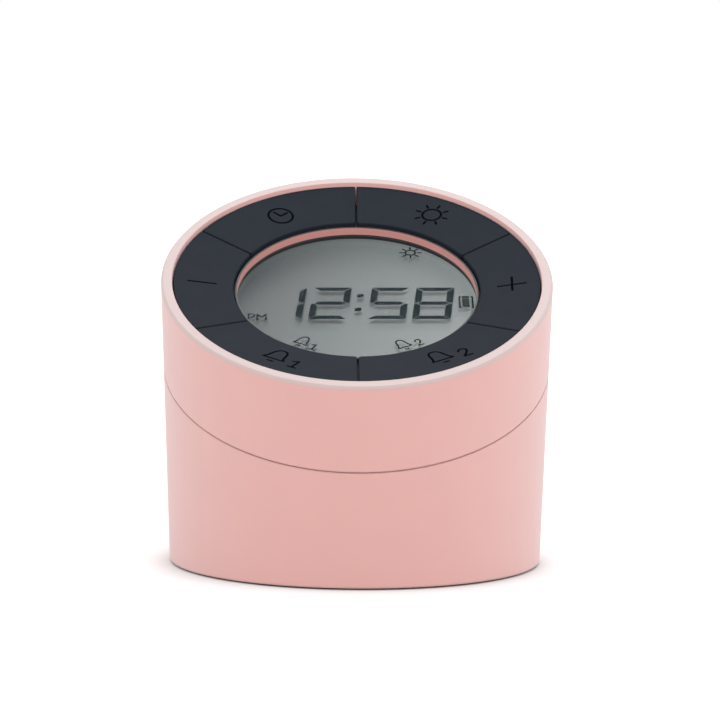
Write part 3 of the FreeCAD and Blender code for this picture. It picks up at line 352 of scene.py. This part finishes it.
def from_axis(paint, middle):
    """Distance from a middle to a point's place on the face, seen from straight above."""
    off = paint.vector("SUBTRACT", paint.place, middle)
    turned = paint.vector("CROSS_PRODUCT", off, NORMAL)
    flat = paint.vector("MULTIPLY", turned, (NORMAL.z, 1 / NORMAL.z, 0))
    return paint.vector("LENGTH", flat, result="Value")


def from_upright(paint):
    """How far a point lies from the drum's upright axis."""
    flat = paint.vector("MULTIPLY", paint.place, (1, 1, 0))
    return paint.vector("LENGTH", flat, result="Value")


def collar_coat_and_shade(paint, base):
    """Leaves the collar's pink on the upper part of its inner wall only, and paints the rest dark as shade."""
    top = top_along_normal("inner_collar")
    for depth, side in zip(COLLAR_BAND, (COLLAR_FADE * MM, -COLLAR_FADE * MM)):
        edge = top - depth * MM
        base = paint.blend(paint.step(height_on_axis(paint), edge - side, edge + side), base, DARK_PLASTIC_SHADE)
    corners = corners_of("inner_collar")
    middle = middle_of(corners)
    wall = inner_radius(corners, middle)
    start, end = (wall + distance * MM for distance in COLLAR_SKIN)
    return paint.blend(paint.step(from_axis(paint, middle), start, end), base, DARK_PLASTIC_SHADE)


def shell_coat_and_painted_light(paint, base):
    """Adds the rim's painted highlight, a paler pink, and painted shade in dark plastic inside the upper half."""
    # painted highlight: the rim's top turns a paler pink
    low, high = (RIM_TOP - depth * MM for depth in reversed(RIM_HIGHLIGHT_BAND))
    rim = paint.step(height_on_axis(paint), low, high)
    start = inner_radius(near_top("upper_housing", RIM_NEAR), FACE) + RIM_HIGHLIGHT_EDGE * MM
    outside = paint.step(from_axis(paint, FACE), start, start + RIM_HIGHLIGHT_FADE * MM)
    base = paint.blend(paint.maths("MULTIPLY", rim, outside), base, RIM_HIGHLIGHT_PINK)
    # painted shade: dark inside the upper half, below the rim's coated lip
    inner = paint.step(from_upright(paint), INNER_SHADE_RADIUS * MM, (INNER_SHADE_RADIUS - INNER_SHADE_FADE) * MM)
    edge = RIM_TOP - INNER_SHADE_DEPTH * MM
    below = paint.step(height_on_axis(paint), edge, edge - INNER_SHADE_FADE * MM)
    return paint.blend(paint.maths("MULTIPLY", inner, below), base, DARK_PLASTIC_SHADE)


def soft_touch(name="soft_pink", colour=PINK, sheen=SHEEN, coat=None):
    """Pink soft-touch coating: matte, pale at glancing angles, with a very fine pebble."""
    paint = painter(name)
    base = paint.blend(paint.patches(size=9.0, detail=3.0), scaled(colour, 0.985), scaled(colour, 1.01))
    if coat:
        base = coat(paint, base)
    roughness = paint.spread(paint.noise(size=0.32, detail=3.0), low=0.47, high=0.57)
    layers = [(paint.noise(size=0.16), 0.004, 0.6), (paint.cells(size=0.26), 0.004, 0.25)]
    normal = paint.bump(layers, paint.rounded(PINK_ROUNDING))
    return paint.surface(base, roughness, normal, Sheen_Weight=sheen, Sheen_Roughness=SHEEN_ROUGHNESS,
                         Specular_IOR_Level=0.5)


def key_finish():
    """Dark keys with a dry, finely sparked surface."""
    paint = painter("key_plastic")
    grain = paint.noise(size=0.11, detail=3.0, roughness=0.65)
    pits = paint.cells(size=0.19)
    base = paint.blend(paint.patches(size=6.0), (0.0170, 0.0215, 0.0300), (0.0195, 0.0245, 0.0330))
    base = paint.blend(paint.spread(grain, low=0.0, high=0.5), base, (0.024, 0.029, 0.038))
    roughness = paint.spread(pits, low=0.60, high=0.74, start=0.1, end=0.7)
    normal = paint.bump([(grain, 0.008, 0.7), (pits, 0.006, 0.4)], paint.rounded(0.25))
    return paint.surface(base, roughness, normal, Specular_IOR_Level=0.05)


def metal(name, colour, rough, stretch):
    """Plated metal with fine drawn lines."""
    paint = painter(name)
    lines = paint.noise(size=0.12, detail=3.0, roughness=0.6, stretch=stretch)
    base = paint.blend(paint.patches(size=2.5, detail=3.0), scaled(colour, 0.88), colour)
    roughness = paint.spread(lines, rough - 0.08, rough + 0.12)
    return paint.surface(base, roughness, paint.bump([(lines, 0.003, 0.5)]), Metallic=1.0)


def circuit_board():
    """Green solder mask with raised tracks and a glossy skin."""
    paint = painter("board_green")
    edges = paint.cells(size=2.6, feature="DISTANCE_TO_EDGE", distance="MANHATTAN")
    track = paint.step(edges, 0.06, 0.10)
    base = paint.blend(track, (0.045, 0.21, 0.09), (0.022, 0.12, 0.05))
    roughness = paint.spread(paint.noise(size=0.4), low=0.30, high=0.42)
    return paint.surface(base, roughness, paint.bump([(track, 0.02, 0.4)]), Coat_Weight=0.3,
                         Coat_Roughness=0.2)


def clear_sheet():
    """Clear lens: nearly invisible from the front, with a faint haze of fine dust."""
    paint = painter("clear_lens")
    base = paint.blend(paint.patches(size=1.5, detail=4.0), (0.06, 0.065, 0.07), (0.09, 0.095, 0.10))
    roughness = paint.spread(paint.noise(size=0.3, detail=3.0), low=0.03, high=0.07)
    return paint.surface(base, roughness, Alpha=0.02, IOR=1.49)


def reflector():
    """Grey-green back of the display with painted light: painted shade and reflection make it darker at the upper
    left and brighter towards the low right side.
    """
    paint = painter("lcd_reflector")
    far_x, far_y = (reach * MM for reach in LCD_SHADE_SPAN)
    across = paint.spread(paint.along("X"), 0.0, LCD_SHADE_ACROSS, -far_x, far_x)
    down = paint.spread(paint.along("Y"), 1 - LCD_SHADE_ACROSS, 0.0, -far_y, far_y)
    # painted shade and light: 0 at the upper left, 1 at the low right
    drift = paint.maths("ADD", across, down, use_clamp=True)
    shaded_base = scaled(LCD_SHADED_TONE, LCD_BASE)
    base = paint.blend(drift, shaded_base, scaled(LCD_LIT_TONE, LCD_BASE))
    grain = paint.spread(paint.noise(size=0.09), low=0.0, high=0.2)
    base = paint.blend(grain, base, scaled(shaded_base, 0.7))
    roughness = paint.spread(paint.noise(size=0.25), low=0.42, high=0.52)
    normal = paint.bump([(paint.noise(size=0.07), 0.003, 0.4)])
    # painted glow in the painted tones, which evens out the shade of the well
    return paint.surface(base, roughness, normal, paint.blend(drift, LCD_SHADED_TONE, LCD_LIT_TONE),
                         Specular_IOR_Level=0.1, Emission_Strength=LCD_PAINTED_GLOW)


def figure_shadow():
    """Thin grey veil that stands for the shadow of the figures on the reflector."""
    paint = painter("lcd_shadow")
    cloud = paint.patches(size=0.3)
    base = paint.blend(cloud, (0.030, 0.034, 0.036), (0.042, 0.046, 0.050))
    roughness = paint.spread(cloud, low=0.6, high=0.7)
    return paint.surface(base, roughness, Alpha=SHADOW_ALPHA, Specular_IOR_Level=0.0)


def crystal():
    """Switched-on crystal: nearly black with a green cast, mottled very slightly."""
    return moulded("lcd_crystal", (0.020, 0.030, 0.034), 0.4, grain=0.2, relief=0.0005, tint=0.1,
                   Specular_IOR_Level=0.0)


def legend_ink():
    """Dark filling of the legends, with hardly any gloss."""
    return moulded("legend_fill", (0.0035, 0.0045, 0.0075), 0.5, grain=0.12, relief=0.003, tint=0.2,
                   Specular_IOR_Level=0.0)


MOULDED = {
    "dark_plastic": dict(colour=(0.03, 0.03, 0.032), rough=0.55),
    "white_plastic": dict(colour=(0.78, 0.78, 0.75), rough=0.5),
    "diffuser": dict(colour=(0.90, 0.87, 0.78), rough=0.35, grain=0.4, relief=0.002, tint=0.02,
                     Subsurface_Weight=0.3, Subsurface_Scale=1.5 * MM),
    "chip_black": dict(colour=(0.02, 0.02, 0.022), rough=0.5, grain=0.1),
    "rubber_black": dict(colour=(0.022, 0.024, 0.024), rough=0.75, grain=0.2, relief=0.01),
    "grip_rubber": dict(colour=(0.19, 0.19, 0.19), rough=0.7, grain=0.2, relief=0.01),
    "cell_wrap": dict(colour=(0.08, 0.20, 0.42), rough=0.3, grain=0.8, relief=0.01),
    "lead_sleeve": dict(colour=(0.035, 0.035, 0.035), rough=0.5),
    "lamp": dict(colour=(0.93, 0.80, 0.42), rough=0.2, grain=0.3, relief=0.002),
}


def slot_finishes():
    """One material for each material slot of the record."""
    made = {slot: moulded(slot, **look) for slot, look in MOULDED.items()}
    made["soft_pink"] = soft_touch()
    made["key_plastic"] = key_finish()
    made["clear_lens"] = clear_sheet()
    made["lcd_glass"] = reflector()
    made["board_green"] = circuit_board()
    made["steel"] = metal("steel", (0.62, 0.62, 0.63), 0.28, stretch=(1, 1, 0.1))
    return made


def dress_nodes(finishes):
    """Gives every CAD node its finish, smooth shading and clean normals."""
    special = {
        "upper_housing": soft_touch("soft_pink_shell_painted_light", coat=shell_coat_and_painted_light),
        "inner_collar": soft_touch("soft_pink_collar_painted_shade", COLLAR_PINK, COLLAR_SHEEN, collar_coat_and_shade),
    }
    for part in frame["record"]["subparts"]:
        node = nodes[part["node"]]
        node.data.materials.clear()
        node.data.materials.append(special.get(part["node"], finishes[part["material_slot"]]))
        node.data.polygons.foreach_set("use_smooth", [True] * len(node.data.polygons))
        node.data.set_sharp_from_angle(angle=math.radians(SHARP_EDGE))
        weighted = node.modifiers.new("even_normals", "WEIGHTED_NORMAL")
        weighted.keep_sharp = True
        weighted.mode = "FACE_AREA"


# Drawing in the face's plane

def mesh_piece(name, mesh, body, material):
    """Makes an object from a mesh, which rides on a body."""
    bmesh.ops.recalc_face_normals(mesh, faces=mesh.faces)
    data = bpy.data.meshes.new(name)
    mesh.to_mesh(data)
    mesh.free()
    made = bpy.data.objects.new(name, data)
    scene.collection.objects.link(made)
    data.materials.append(material)
    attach(made, body)
    return made


class Sheet:
    """Thin raised shapes on a surface, gathered into one mesh."""

    def __init__(self, place, rise, sink):
        self.mesh = bmesh.new()
        self.place = place
        self.rise = rise * MM
        self.sink = sink * MM

    def pair(self, x, y):
        """Upper and lower vertex over one place."""
        ground = self.place(x, y)
        upper = self.mesh.verts.new(ground + NORMAL * self.rise)
        lower = self.mesh.verts.new(ground - NORMAL * self.sink)
        return upper, lower

    def plate(self, outline):
        """Flat plate with this outline, anticlockwise."""
        pairs = [self.pair(x, y) for x, y in outline]
        self.mesh.faces.new([upper for upper, lower in pairs])
        self.mesh.faces.new([lower for upper, lower in reversed(pairs)])
        for first, second in zip(pairs, pairs[1:] + pairs[:1]):
            self.mesh.faces.new((first[0], first[1], second[1], second[0]))

    def stroke(self, points, width, closed=False):
        """Line with round ends through points, or a closed loop."""
        line = resample(points, closed)
        rows = []
        count = len(line)
        for index, (x, y) in enumerate(line):
            before = line[index - 1] if closed or index else line[index]
            after = line[(index + 1) % count] if closed or index < count - 1 else line[index]
            rows.append((x, y, math.atan2(after[1] - before[1], after[0] - before[0]), width / 2))
        if not closed:
            rows = round_cap(rows[0], -1)[::-1] + rows + round_cap(rows[-1], 1)
        # Each row has four corners: upper and lower on the right, upper and lower on the left
        sides = []
        for x, y, turn, half in rows:
            across = (-math.sin(turn) * half, math.cos(turn) * half)
            right = self.pair(x - across[0], y - across[1])
            sides.append(right + self.pair(x + across[0], y + across[1]))
        loop = zip(sides, sides[1:] + sides[:1]) if closed else zip(sides, sides[1:])
        for a, b in loop:
            for near, far in ((0, 2), (3, 1), (1, 0), (2, 3)):
                self.mesh.faces.new((a[near], b[near], b[far], a[far]))
        if not closed:
            for end, order in ((sides[0], (0, 2, 3, 1)), (sides[-1], (0, 1, 3, 2))):
                self.mesh.faces.new([end[corner] for corner in order])

    def piece(self, name, body, material):
        return mesh_piece(name, self.mesh, body, material)


def resample(points, closed):
    """Points spaced evenly enough along a polyline."""
    ends = list(points) + ([points[0]] if closed else [])
    line = []
    for (x0, y0), (x1, y1) in zip(ends, ends[1:]):
        parts = max(1, round(math.hypot(x1 - x0, y1 - y0) / STROKE_STEP))
        for part in range(parts):
            share = part / parts
            line.append((x0 + (x1 - x0) * share, y0 + (y1 - y0) * share))
    if not closed:
        line.append(tuple(ends[-1]))
    return line


def round_cap(row, way):
    """Rows that narrow round the end of a stroke."""
    x, y, turn, half = row
    rows = []
    for angle in CAP_ANGLES:
        reach = way * half * math.sin(math.radians(angle))
        narrow = half * math.cos(math.radians(angle))
        rows.append((x + reach * math.cos(turn), y + reach * math.sin(turn), turn, narrow))
    return rows


def moved(points, middle, turn=0.0, scale=1.0):
    """Points turned, scaled and carried to a middle."""
    c = math.cos(math.radians(turn)) * scale
    s = math.sin(math.radians(turn)) * scale
    return [(middle[0] + x * c - y * s, middle[1] + x * s + y * c) for x, y in points]


def circle(radius, count=CIRCLE_POINTS):
    turns = [2 * math.pi * index / count for index in range(count)]
    return [(radius * math.cos(turn), radius * math.sin(turn)) for turn in turns]


def smooth(points):
    """Open Catmull-Rom curve through points."""
    last = len(points) - 1
    line = []
    for index in range(last):
        a, b, c, d = (points[min(max(index + offset, 0), last)] for offset in (-1, 0, 1, 2))
        for part in range(CURVE_PARTS):
            t = part / CURVE_PARTS
            line.append(tuple(
                0.5 * (2 * b[k] + (c[k] - a[k]) * t + (2 * a[k] - 5 * b[k] + 4 * c[k] - d[k]) * t ** 2
                       + (3 * b[k] - a[k] - 3 * c[k] + d[k]) * t ** 3)
                for k in (0, 1)
            ))
    line.append(tuple(points[last]))
    return line


# Symbols: each is a list of (points, closed), with its middle or its mouth at the origin

BELL_SIDE = [(2.65, 0.0), (2.05, 1.0), (1.75, 2.4), (1.45, 3.8), (0.8, 4.75), (0.0, 5.0)]
BELL_CLAPPER = (0.62, -1.4)    # half its length, and its height
ONE_STROKES = [[(4.1, 1.45), (5.35, 2.15), (5.3, -1.45)], [(4.35, -1.5), (6.3, -1.5)]]
TWO_CURVE = [(5.1, 1.5), (5.5, 2.1), (6.2, 2.35), (6.95, 2.0), (7.05, 1.2), (6.4, 0.1), (5.0, -1.4)]
TWO_END = (7.1, -1.4)
CLOCK_RADIUS = 2.9
CLOCK_HANDS = [(-1.6, 1.2), (0.0, -0.1), (1.5, 1.4)]
SUN_RAYS = 8
LETTER_P = [(0, -1.24), (0, 1.24), (0.95, 1.24), (1.45, 0.85), (1.45, 0.2), (0.95, -0.15), (0, -0.15)]
LETTER_M = [(0, -1.22), (0, 1.22), (1.03, -0.25), (2.0, 1.22), (2.0, -1.22)]


def bell():
    side = smooth(BELL_SIDE)
    outline = side + [(-x, y) for x, y in reversed(side[:-1])]
    reach, low = BELL_CLAPPER
    return [(outline, True), ([(-reach, low), (reach, low)], False)]


def open_lines(*strokes):
    return [(stroke, False) for stroke in strokes]


def numeral_one():
    return open_lines(*ONE_STROKES)


def numeral_two():
    return open_lines(smooth(TWO_CURVE) + [TWO_END])


def sun(radius, inner, outer, turn):
    """Circle with rays from an inner to an outer radius."""
    rays = [([(inner, 0), (outer, 0)], turn + 360 / SUN_RAYS * index) for index in range(SUN_RAYS)]
    return [(circle(radius), True)] + [(moved(ray, (0, 0), angle), False) for ray, angle in rays]


def clock_face():
    return [(circle(CLOCK_RADIUS), True), (CLOCK_HANDS, False)]


def draw(sheet, symbol, middle, width, turn=0.0, scale=1.0):
    for points, closed in symbol:
        sheet.stroke(moved(points, middle, turn, scale), width, closed)


def key_surface(node):
    """Function that drops a place of the face onto a key's upper surface."""
    tree = BVHTree.FromObject(nodes[node], bpy.context.evaluated_depsgraph_get())

    def place(x, y):
        hit = tree.ray_cast(on_face(x, y, -LEGEND_START), -NORMAL)[0]
        return hit if hit is not None else on_face(x, y, depth_of(node))

    return place


# Symbol, middle and turn
LEGENDS = {
    "key_clock": [(clock_face(), (-17.91, 32.73), 0)],
    "key_light": [(sun(2.22, 3.0, 4.0, 15), (17.94, 33.6), 0)],
    "key_plus": [(open_lines([(-3.17, -0.15), (3.17, 0)], [(0, -2.65), (0.1, 3.45)]), (35.62, 0.0), 0)],
    "key_minus": [(open_lines([(-3.15, -0.15), (3.15, 0.15)]), (-35.58, 0.0), 0)],
    "key_alarm_1": [(bell(), (-18.79, -34.7), -30), (numeral_one(), (-18.62, -34.8), -30)],
    "key_alarm_2": [(bell(), (18.95, -34.61), 30), (numeral_two(), (18.69, -34.76), 30)],
}


def key_legends():
    ink = legend_ink()
    for key, symbols in LEGENDS.items():
        sheet = Sheet(key_surface(key), LEGEND_RISE, LEGEND_SINK)
        for symbol, middle, turn in symbols:
            draw(sheet, symbol, middle, LEGEND_LINE, turn)
        sheet.piece("legend_" + key[4:], key, ink)


# Display pieces

ICON_LINE = 0.42
ICON_SCALE = 0.65              # small bells against the ones on the keys
# Symbol, middle, turn and scale
ICONS = (
    (sun(1.17, 1.65, 2.48, 0), (13.22, 25.24), 0, 1.0),
    (bell(), (-13.2, -17.46), -30, ICON_SCALE),
    (numeral_one(), (-13.18, -17.51), -30, ICON_SCALE),
    (bell(), (10.62, -18.94), 30, ICON_SCALE),
    (numeral_two(), (10.47, -19.09), 30, ICON_SCALE),
    (open_lines(LETTER_P), (-24.94, -5.22), 0, 1.0),
    (open_lines(LETTER_M), (-22.9, -5.34), 0, 1.0),
)
GAUGE_PLACE = (24.45, -0.57)   # lower left corner of the charge gauge's bars
GAUGE_WIDTH = 1.65
GAUGE_BARS = ((0.0, 1.1), (1.35, 2.45), (2.7, 3.8), (4.05, 4.97))  # their edges above that corner
GAUGE_SIDES = ((23.85, 24.14), (26.85, 26.56))  # each upright line, and the ends of its ticks
GAUGE_SPAN = (-1.03, 4.1)      # lower and upper end of those lines


def bar_outlines(left):
    """The seven bars of a digit whose lower left corner is here, by letter."""
    w, h, t, g = DIGIT_WIDTH, DIGIT_HEIGHT, DIGIT_BAR, DIGIT_GAP
    m = h / 2
    k = DIGIT_SPLIT
    upper_right = [(w, h - g), (w - t, h - t - g), (w - t, m + t / 2 + k), (w - t / 2, m + k), (w, m + k)]
    top = [(w - g, h), (g, h), (t + g, h - t), (w - t - g, h - t)]
    middle = [
        (t / 2 + g, m), (t + g, m - t / 2), (w - t - g, m - t / 2),
        (w - t / 2 - g, m), (w - t - g, m + t / 2), (t + g, m + t / 2),
    ]
    bars = {
        "a": top,
        "b": upper_right,
        "c": [(x, h - y) for x, y in reversed(upper_right)],
        "d": [(x, h - y) for x, y in reversed(top)],
        "e": [(w - x, h - y) for x, y in upper_right],
        "f": [(w - x, y) for x, y in reversed(upper_right)],
        "g": middle,
    }
    return {
        letter: [(left + x + y * DIGIT_LEAN, DIGIT_LOW + y) for x, y in outline]
        for letter, outline in bars.items()
    }


def charge_gauge(sheet):
    left, low = GAUGE_PLACE
    right = left + GAUGE_WIDTH
    for bottom, top in GAUGE_BARS:
        sheet.plate([(left, low + bottom), (right, low + bottom), (right, low + top), (left, low + top)])
    bottom, top = GAUGE_SPAN
    for side, tick in GAUGE_SIDES:
        sheet.stroke([(tick, top), (side, top), (side, bottom), (tick, bottom)], ICON_LINE)


def in_display(depth, shift=(0.0, 0.0)):
    """Function that places a point of the turned display at a depth."""
    def place(x, y):
        (turned_x, turned_y), = moved([(x + shift[0], y + shift[1])], (0, 0), LCD_TURN)
        return on_face(turned_x, turned_y, depth)
    return place


def draw_figures(sheet):
    """Digits, colon and icons."""
    for digit, left in DIGIT_PLACES:
        bars = bar_outlines(left)
        for letter in DIGIT_BARS[digit]:
            sheet.plate(bars[letter])
    half, high = COLON_SIZE[0] / 2, COLON_SIZE[1] / 2
    lean = high * DIGIT_LEAN
    for x, y in COLON_DOTS:
        sheet.plate([(x - half - lean, y - high), (x + half - lean, y - high),
                     (x + half + lean, y + high), (x - half + lean, y + high)])
    for symbol, middle, turn, scale in ICONS:
        draw(sheet, symbol, middle, ICON_LINE, turn, scale)
    charge_gauge(sheet)


def display_figures():
    """Dark figures, and under each its soft shadow in a few shifted layers."""
    top = depth_of("lcd_panel")
    half = CRYSTAL_THICKNESS / 2
    sheet = Sheet(in_display(top + CRYSTAL_DEPTH), half, half)
    draw_figures(sheet)
    sheet.piece("lcd_figures", "head", crystal())
    veil = figure_shadow()
    for layer, shift in enumerate(SHADOW_SHIFTS, 1):
        depth = top + REFLECTOR_DROP - layer * SHADOW_STEP
        sheet = Sheet(in_display(depth, shift), SHADOW_HALF, SHADOW_HALF)
        draw_figures(sheet)
        sheet.piece("lcd_shadow_%d" % layer, "head", veil)


def oval_points(node, inward):
    """Outline of a round node in the face's plane, drawn in by a distance."""
    corners = [corner - FACE for corner in corners_of(node)]
    half_x = max(corner.dot(RIGHT) for corner in corners) / MM
    half_y = max(corner.dot(UP_SLOPE) for corner in corners) / MM
    return [(x * (half_x - inward), y * (half_y - inward)) for x, y in circle(1.0, OVAL_POINTS)]


def ring_of(mesh, outline, depth):
    """Vertices along an outline of the face, at a depth."""
    return [mesh.verts.new(on_face(x, y, depth)) for x, y in outline]


def band(mesh, first, second):
    """Faces between two closed rings of vertices."""
    count = len(first)
    for index in range(count):
        after = (index + 1) % count
        mesh.faces.new((first[index], first[after], second[after], second[index]))


def display_panel(finishes):
    """Reflector plate and border that stand for the display panel."""
    top = depth_of("lcd_panel")
    floor = top + REFLECTOR_DROP
    outline = oval_points("lcd_panel", REFLECTOR_EDGE)
    mesh = bmesh.new()
    upper, lower = (ring_of(mesh, outline, depth) for depth in (floor, floor + REFLECTOR_THICKNESS))
    mesh.faces.new(upper)
    mesh.faces.new(lower)
    band(mesh, upper, lower)
    plate = mesh_piece("lcd_reflector", mesh, "head", finishes["lcd_glass"])
    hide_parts("lcd_panel")
    mesh = bmesh.new()
    border_top = top + CRYSTAL_DEPTH + CRYSTAL_THICKNESS
    inner = [(x * BORDER_INNER, y * BORDER_INNER / NORMAL.z) for x, y in circle(1.0, OVAL_POINTS)]
    corners = ((inner, floor), (inner, border_top), (outline, border_top), (outline, floor))
    rings = [ring_of(mesh, line, depth) for line, depth in corners]
    for first, second in zip(rings, rings[1:] + rings[:1]):
        band(mesh, first, second)
    # the border wears the display's painted light and glow, and covers the shade under the gasket
    border = mesh_piece("lcd_border", mesh, "head", finishes["lcd_glass"])
    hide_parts("lcd_panel")


# Stage, light and camera

def seen_directly(paint):
    """Factor: 1 for the camera, and for what gloss and glass show, 0 for other light."""
    rays = paint.node("ShaderNodeLightPath")
    factor = rays.outputs["Is Camera Ray"]
    for kind in ("Is Glossy Ray", "Is Transmission Ray"):
        factor = paint.maths("MAXIMUM", factor, rays.outputs[kind])
    return factor


def floor_finish():
    """Pale floor, white to the camera but for the clock's own soft shadow, which painted shade deepens near the
    clock.
    """
    paint = painter("floor")
    # painted shade: the floor darkens where the clock closes it in
    shade = paint.node("ShaderNodeAmbientOcclusion", samples=8)
    shade.inputs["Distance"].default_value = CONTACT_SHADE_REACH * MM
    open_sky = paint.step(shade.outputs["AO"], 0.0, CONTACT_OPEN)
    far = paint.spread(from_upright(paint), *FLOOR_GLOW, *FLOOR_GLOW_REACH)
    glow = paint.node("ShaderNodeEmission")
    paint.link(paint.maths("MULTIPLY", far, open_sky), glow.inputs["Strength"])
    tint = paint.blend(paint.patches(size=3.0, detail=4.0), *FLOOR_TONES)
    shaded = paint.node("ShaderNodeBsdfDiffuse")
    paint.link(paint.blend(open_sky, CONTACT_SHADE_TONE, tint), shaded.inputs["Color"])
    seen = paint.node("ShaderNodeAddShader")
    paint.link(glow.outputs["Emission"], seen.inputs[0])
    paint.link(shaded.outputs["BSDF"], seen.inputs[1])
    plain = paint.node("ShaderNodeBsdfDiffuse")
    plain.inputs["Color"].default_value = (*FLOOR_BOUNCE, 1)
    choice = paint.node("ShaderNodeMixShader")
    paint.link(seen_directly(paint), choice.inputs["Fac"])
    paint.link(plain.outputs["BSDF"], choice.inputs[1])
    paint.link(seen.outputs["Shader"], choice.inputs[2])
    return paint.finish(choice.outputs["Shader"])


def stage_floor():
    mesh = bmesh.new()
    ways = ((-1, -1), (1, -1), (1, 1), (-1, 1))
    mesh.faces.new([mesh.verts.new((x * FLOOR_REACH, y * FLOOR_REACH, 0)) for x, y in ways])
    data = bpy.data.meshes.new("floor")
    mesh.to_mesh(data)
    mesh.free()
    floor = bpy.data.objects.new("floor", data)
    scene.collection.objects.link(floor)
    data.materials.append(floor_finish())


def white_world():
    """World that is white to the camera and lights the clock softly, less from above."""
    scene.world = bpy.data.worlds.new("studio")
    paint = Painter(scene.world, output="ShaderNodeOutputWorld", place="Generated")
    sky = paint.spread(paint.along("Z"), SKY_LOW, SKY_HIGH, start=0.0, end=1.0)
    strength = paint.node("ShaderNodeMix")
    paint.link(seen_directly(paint), strength.inputs["Factor"])
    paint.link(sky, strength.inputs["A"])
    strength.inputs["B"].default_value = 1.0
    background = paint.node("ShaderNodeBackground")
    background.inputs["Color"].default_value = (1, 1, 1, 1)
    paint.link(strength.outputs["Result"], background.inputs["Strength"])
    paint.finish(background.outputs["Background"])


def softbox(name, place, size, watts):
    """Large lamp that faces the clock."""
    lamp = bpy.data.lights.new(name, "AREA")
    lamp.shape = "RECTANGLE"
    lamp.size, lamp.size_y = size
    lamp.energy = watts
    made = bpy.data.objects.new(name, lamp)
    scene.collection.objects.link(made)
    made.location = place
    made.rotation_mode = "QUATERNION"
    made.rotation_quaternion = (AIM - Vector(place)).to_track_quat("-Z", "Y")


def camera():
    """Long lens a little above the clock."""
    ahead = Vector((0, math.cos(CAMERA_RISE), -math.sin(CAMERA_RISE)))
    upward = Vector((0, math.sin(CAMERA_RISE), math.cos(CAMERA_RISE)))
    turn = Matrix.Rotation(-CAMERA_YAW, 3, "Z")
    right = RIGHT * math.cos(CAMERA_ROLL) + upward * math.sin(CAMERA_ROLL)
    top = upward * math.cos(CAMERA_ROLL) - RIGHT * math.sin(CAMERA_ROLL)
    place = turn @ (CAMERA_AIM - ahead * CAMERA_DISTANCE)
    axes = Matrix((turn @ right, turn @ top, turn @ -ahead)).transposed()
    data = bpy.data.cameras.new("camera")
    data.sensor_fit = "AUTO"
    data.sensor_width = SENSOR
    data.lens = LENS
    data.clip_start, data.clip_end = CAMERA_CLIP
    made = bpy.data.objects.new("camera", data)
    scene.collection.objects.link(made)
    made.matrix_world = Matrix.Translation(place) @ axes.to_4x4()
    scene.camera = made


def main():
    scene.view_settings.view_transform = "Standard"
    finishes = slot_finishes()
    dress_nodes(finishes)
    key_legends()
    display_panel(finishes)
    display_figures()
    stage_floor()
    white_world()
    for name, (place, size, watts) in LAMPS.items():
        softbox(name, place, size, watts)
    camera()


main()
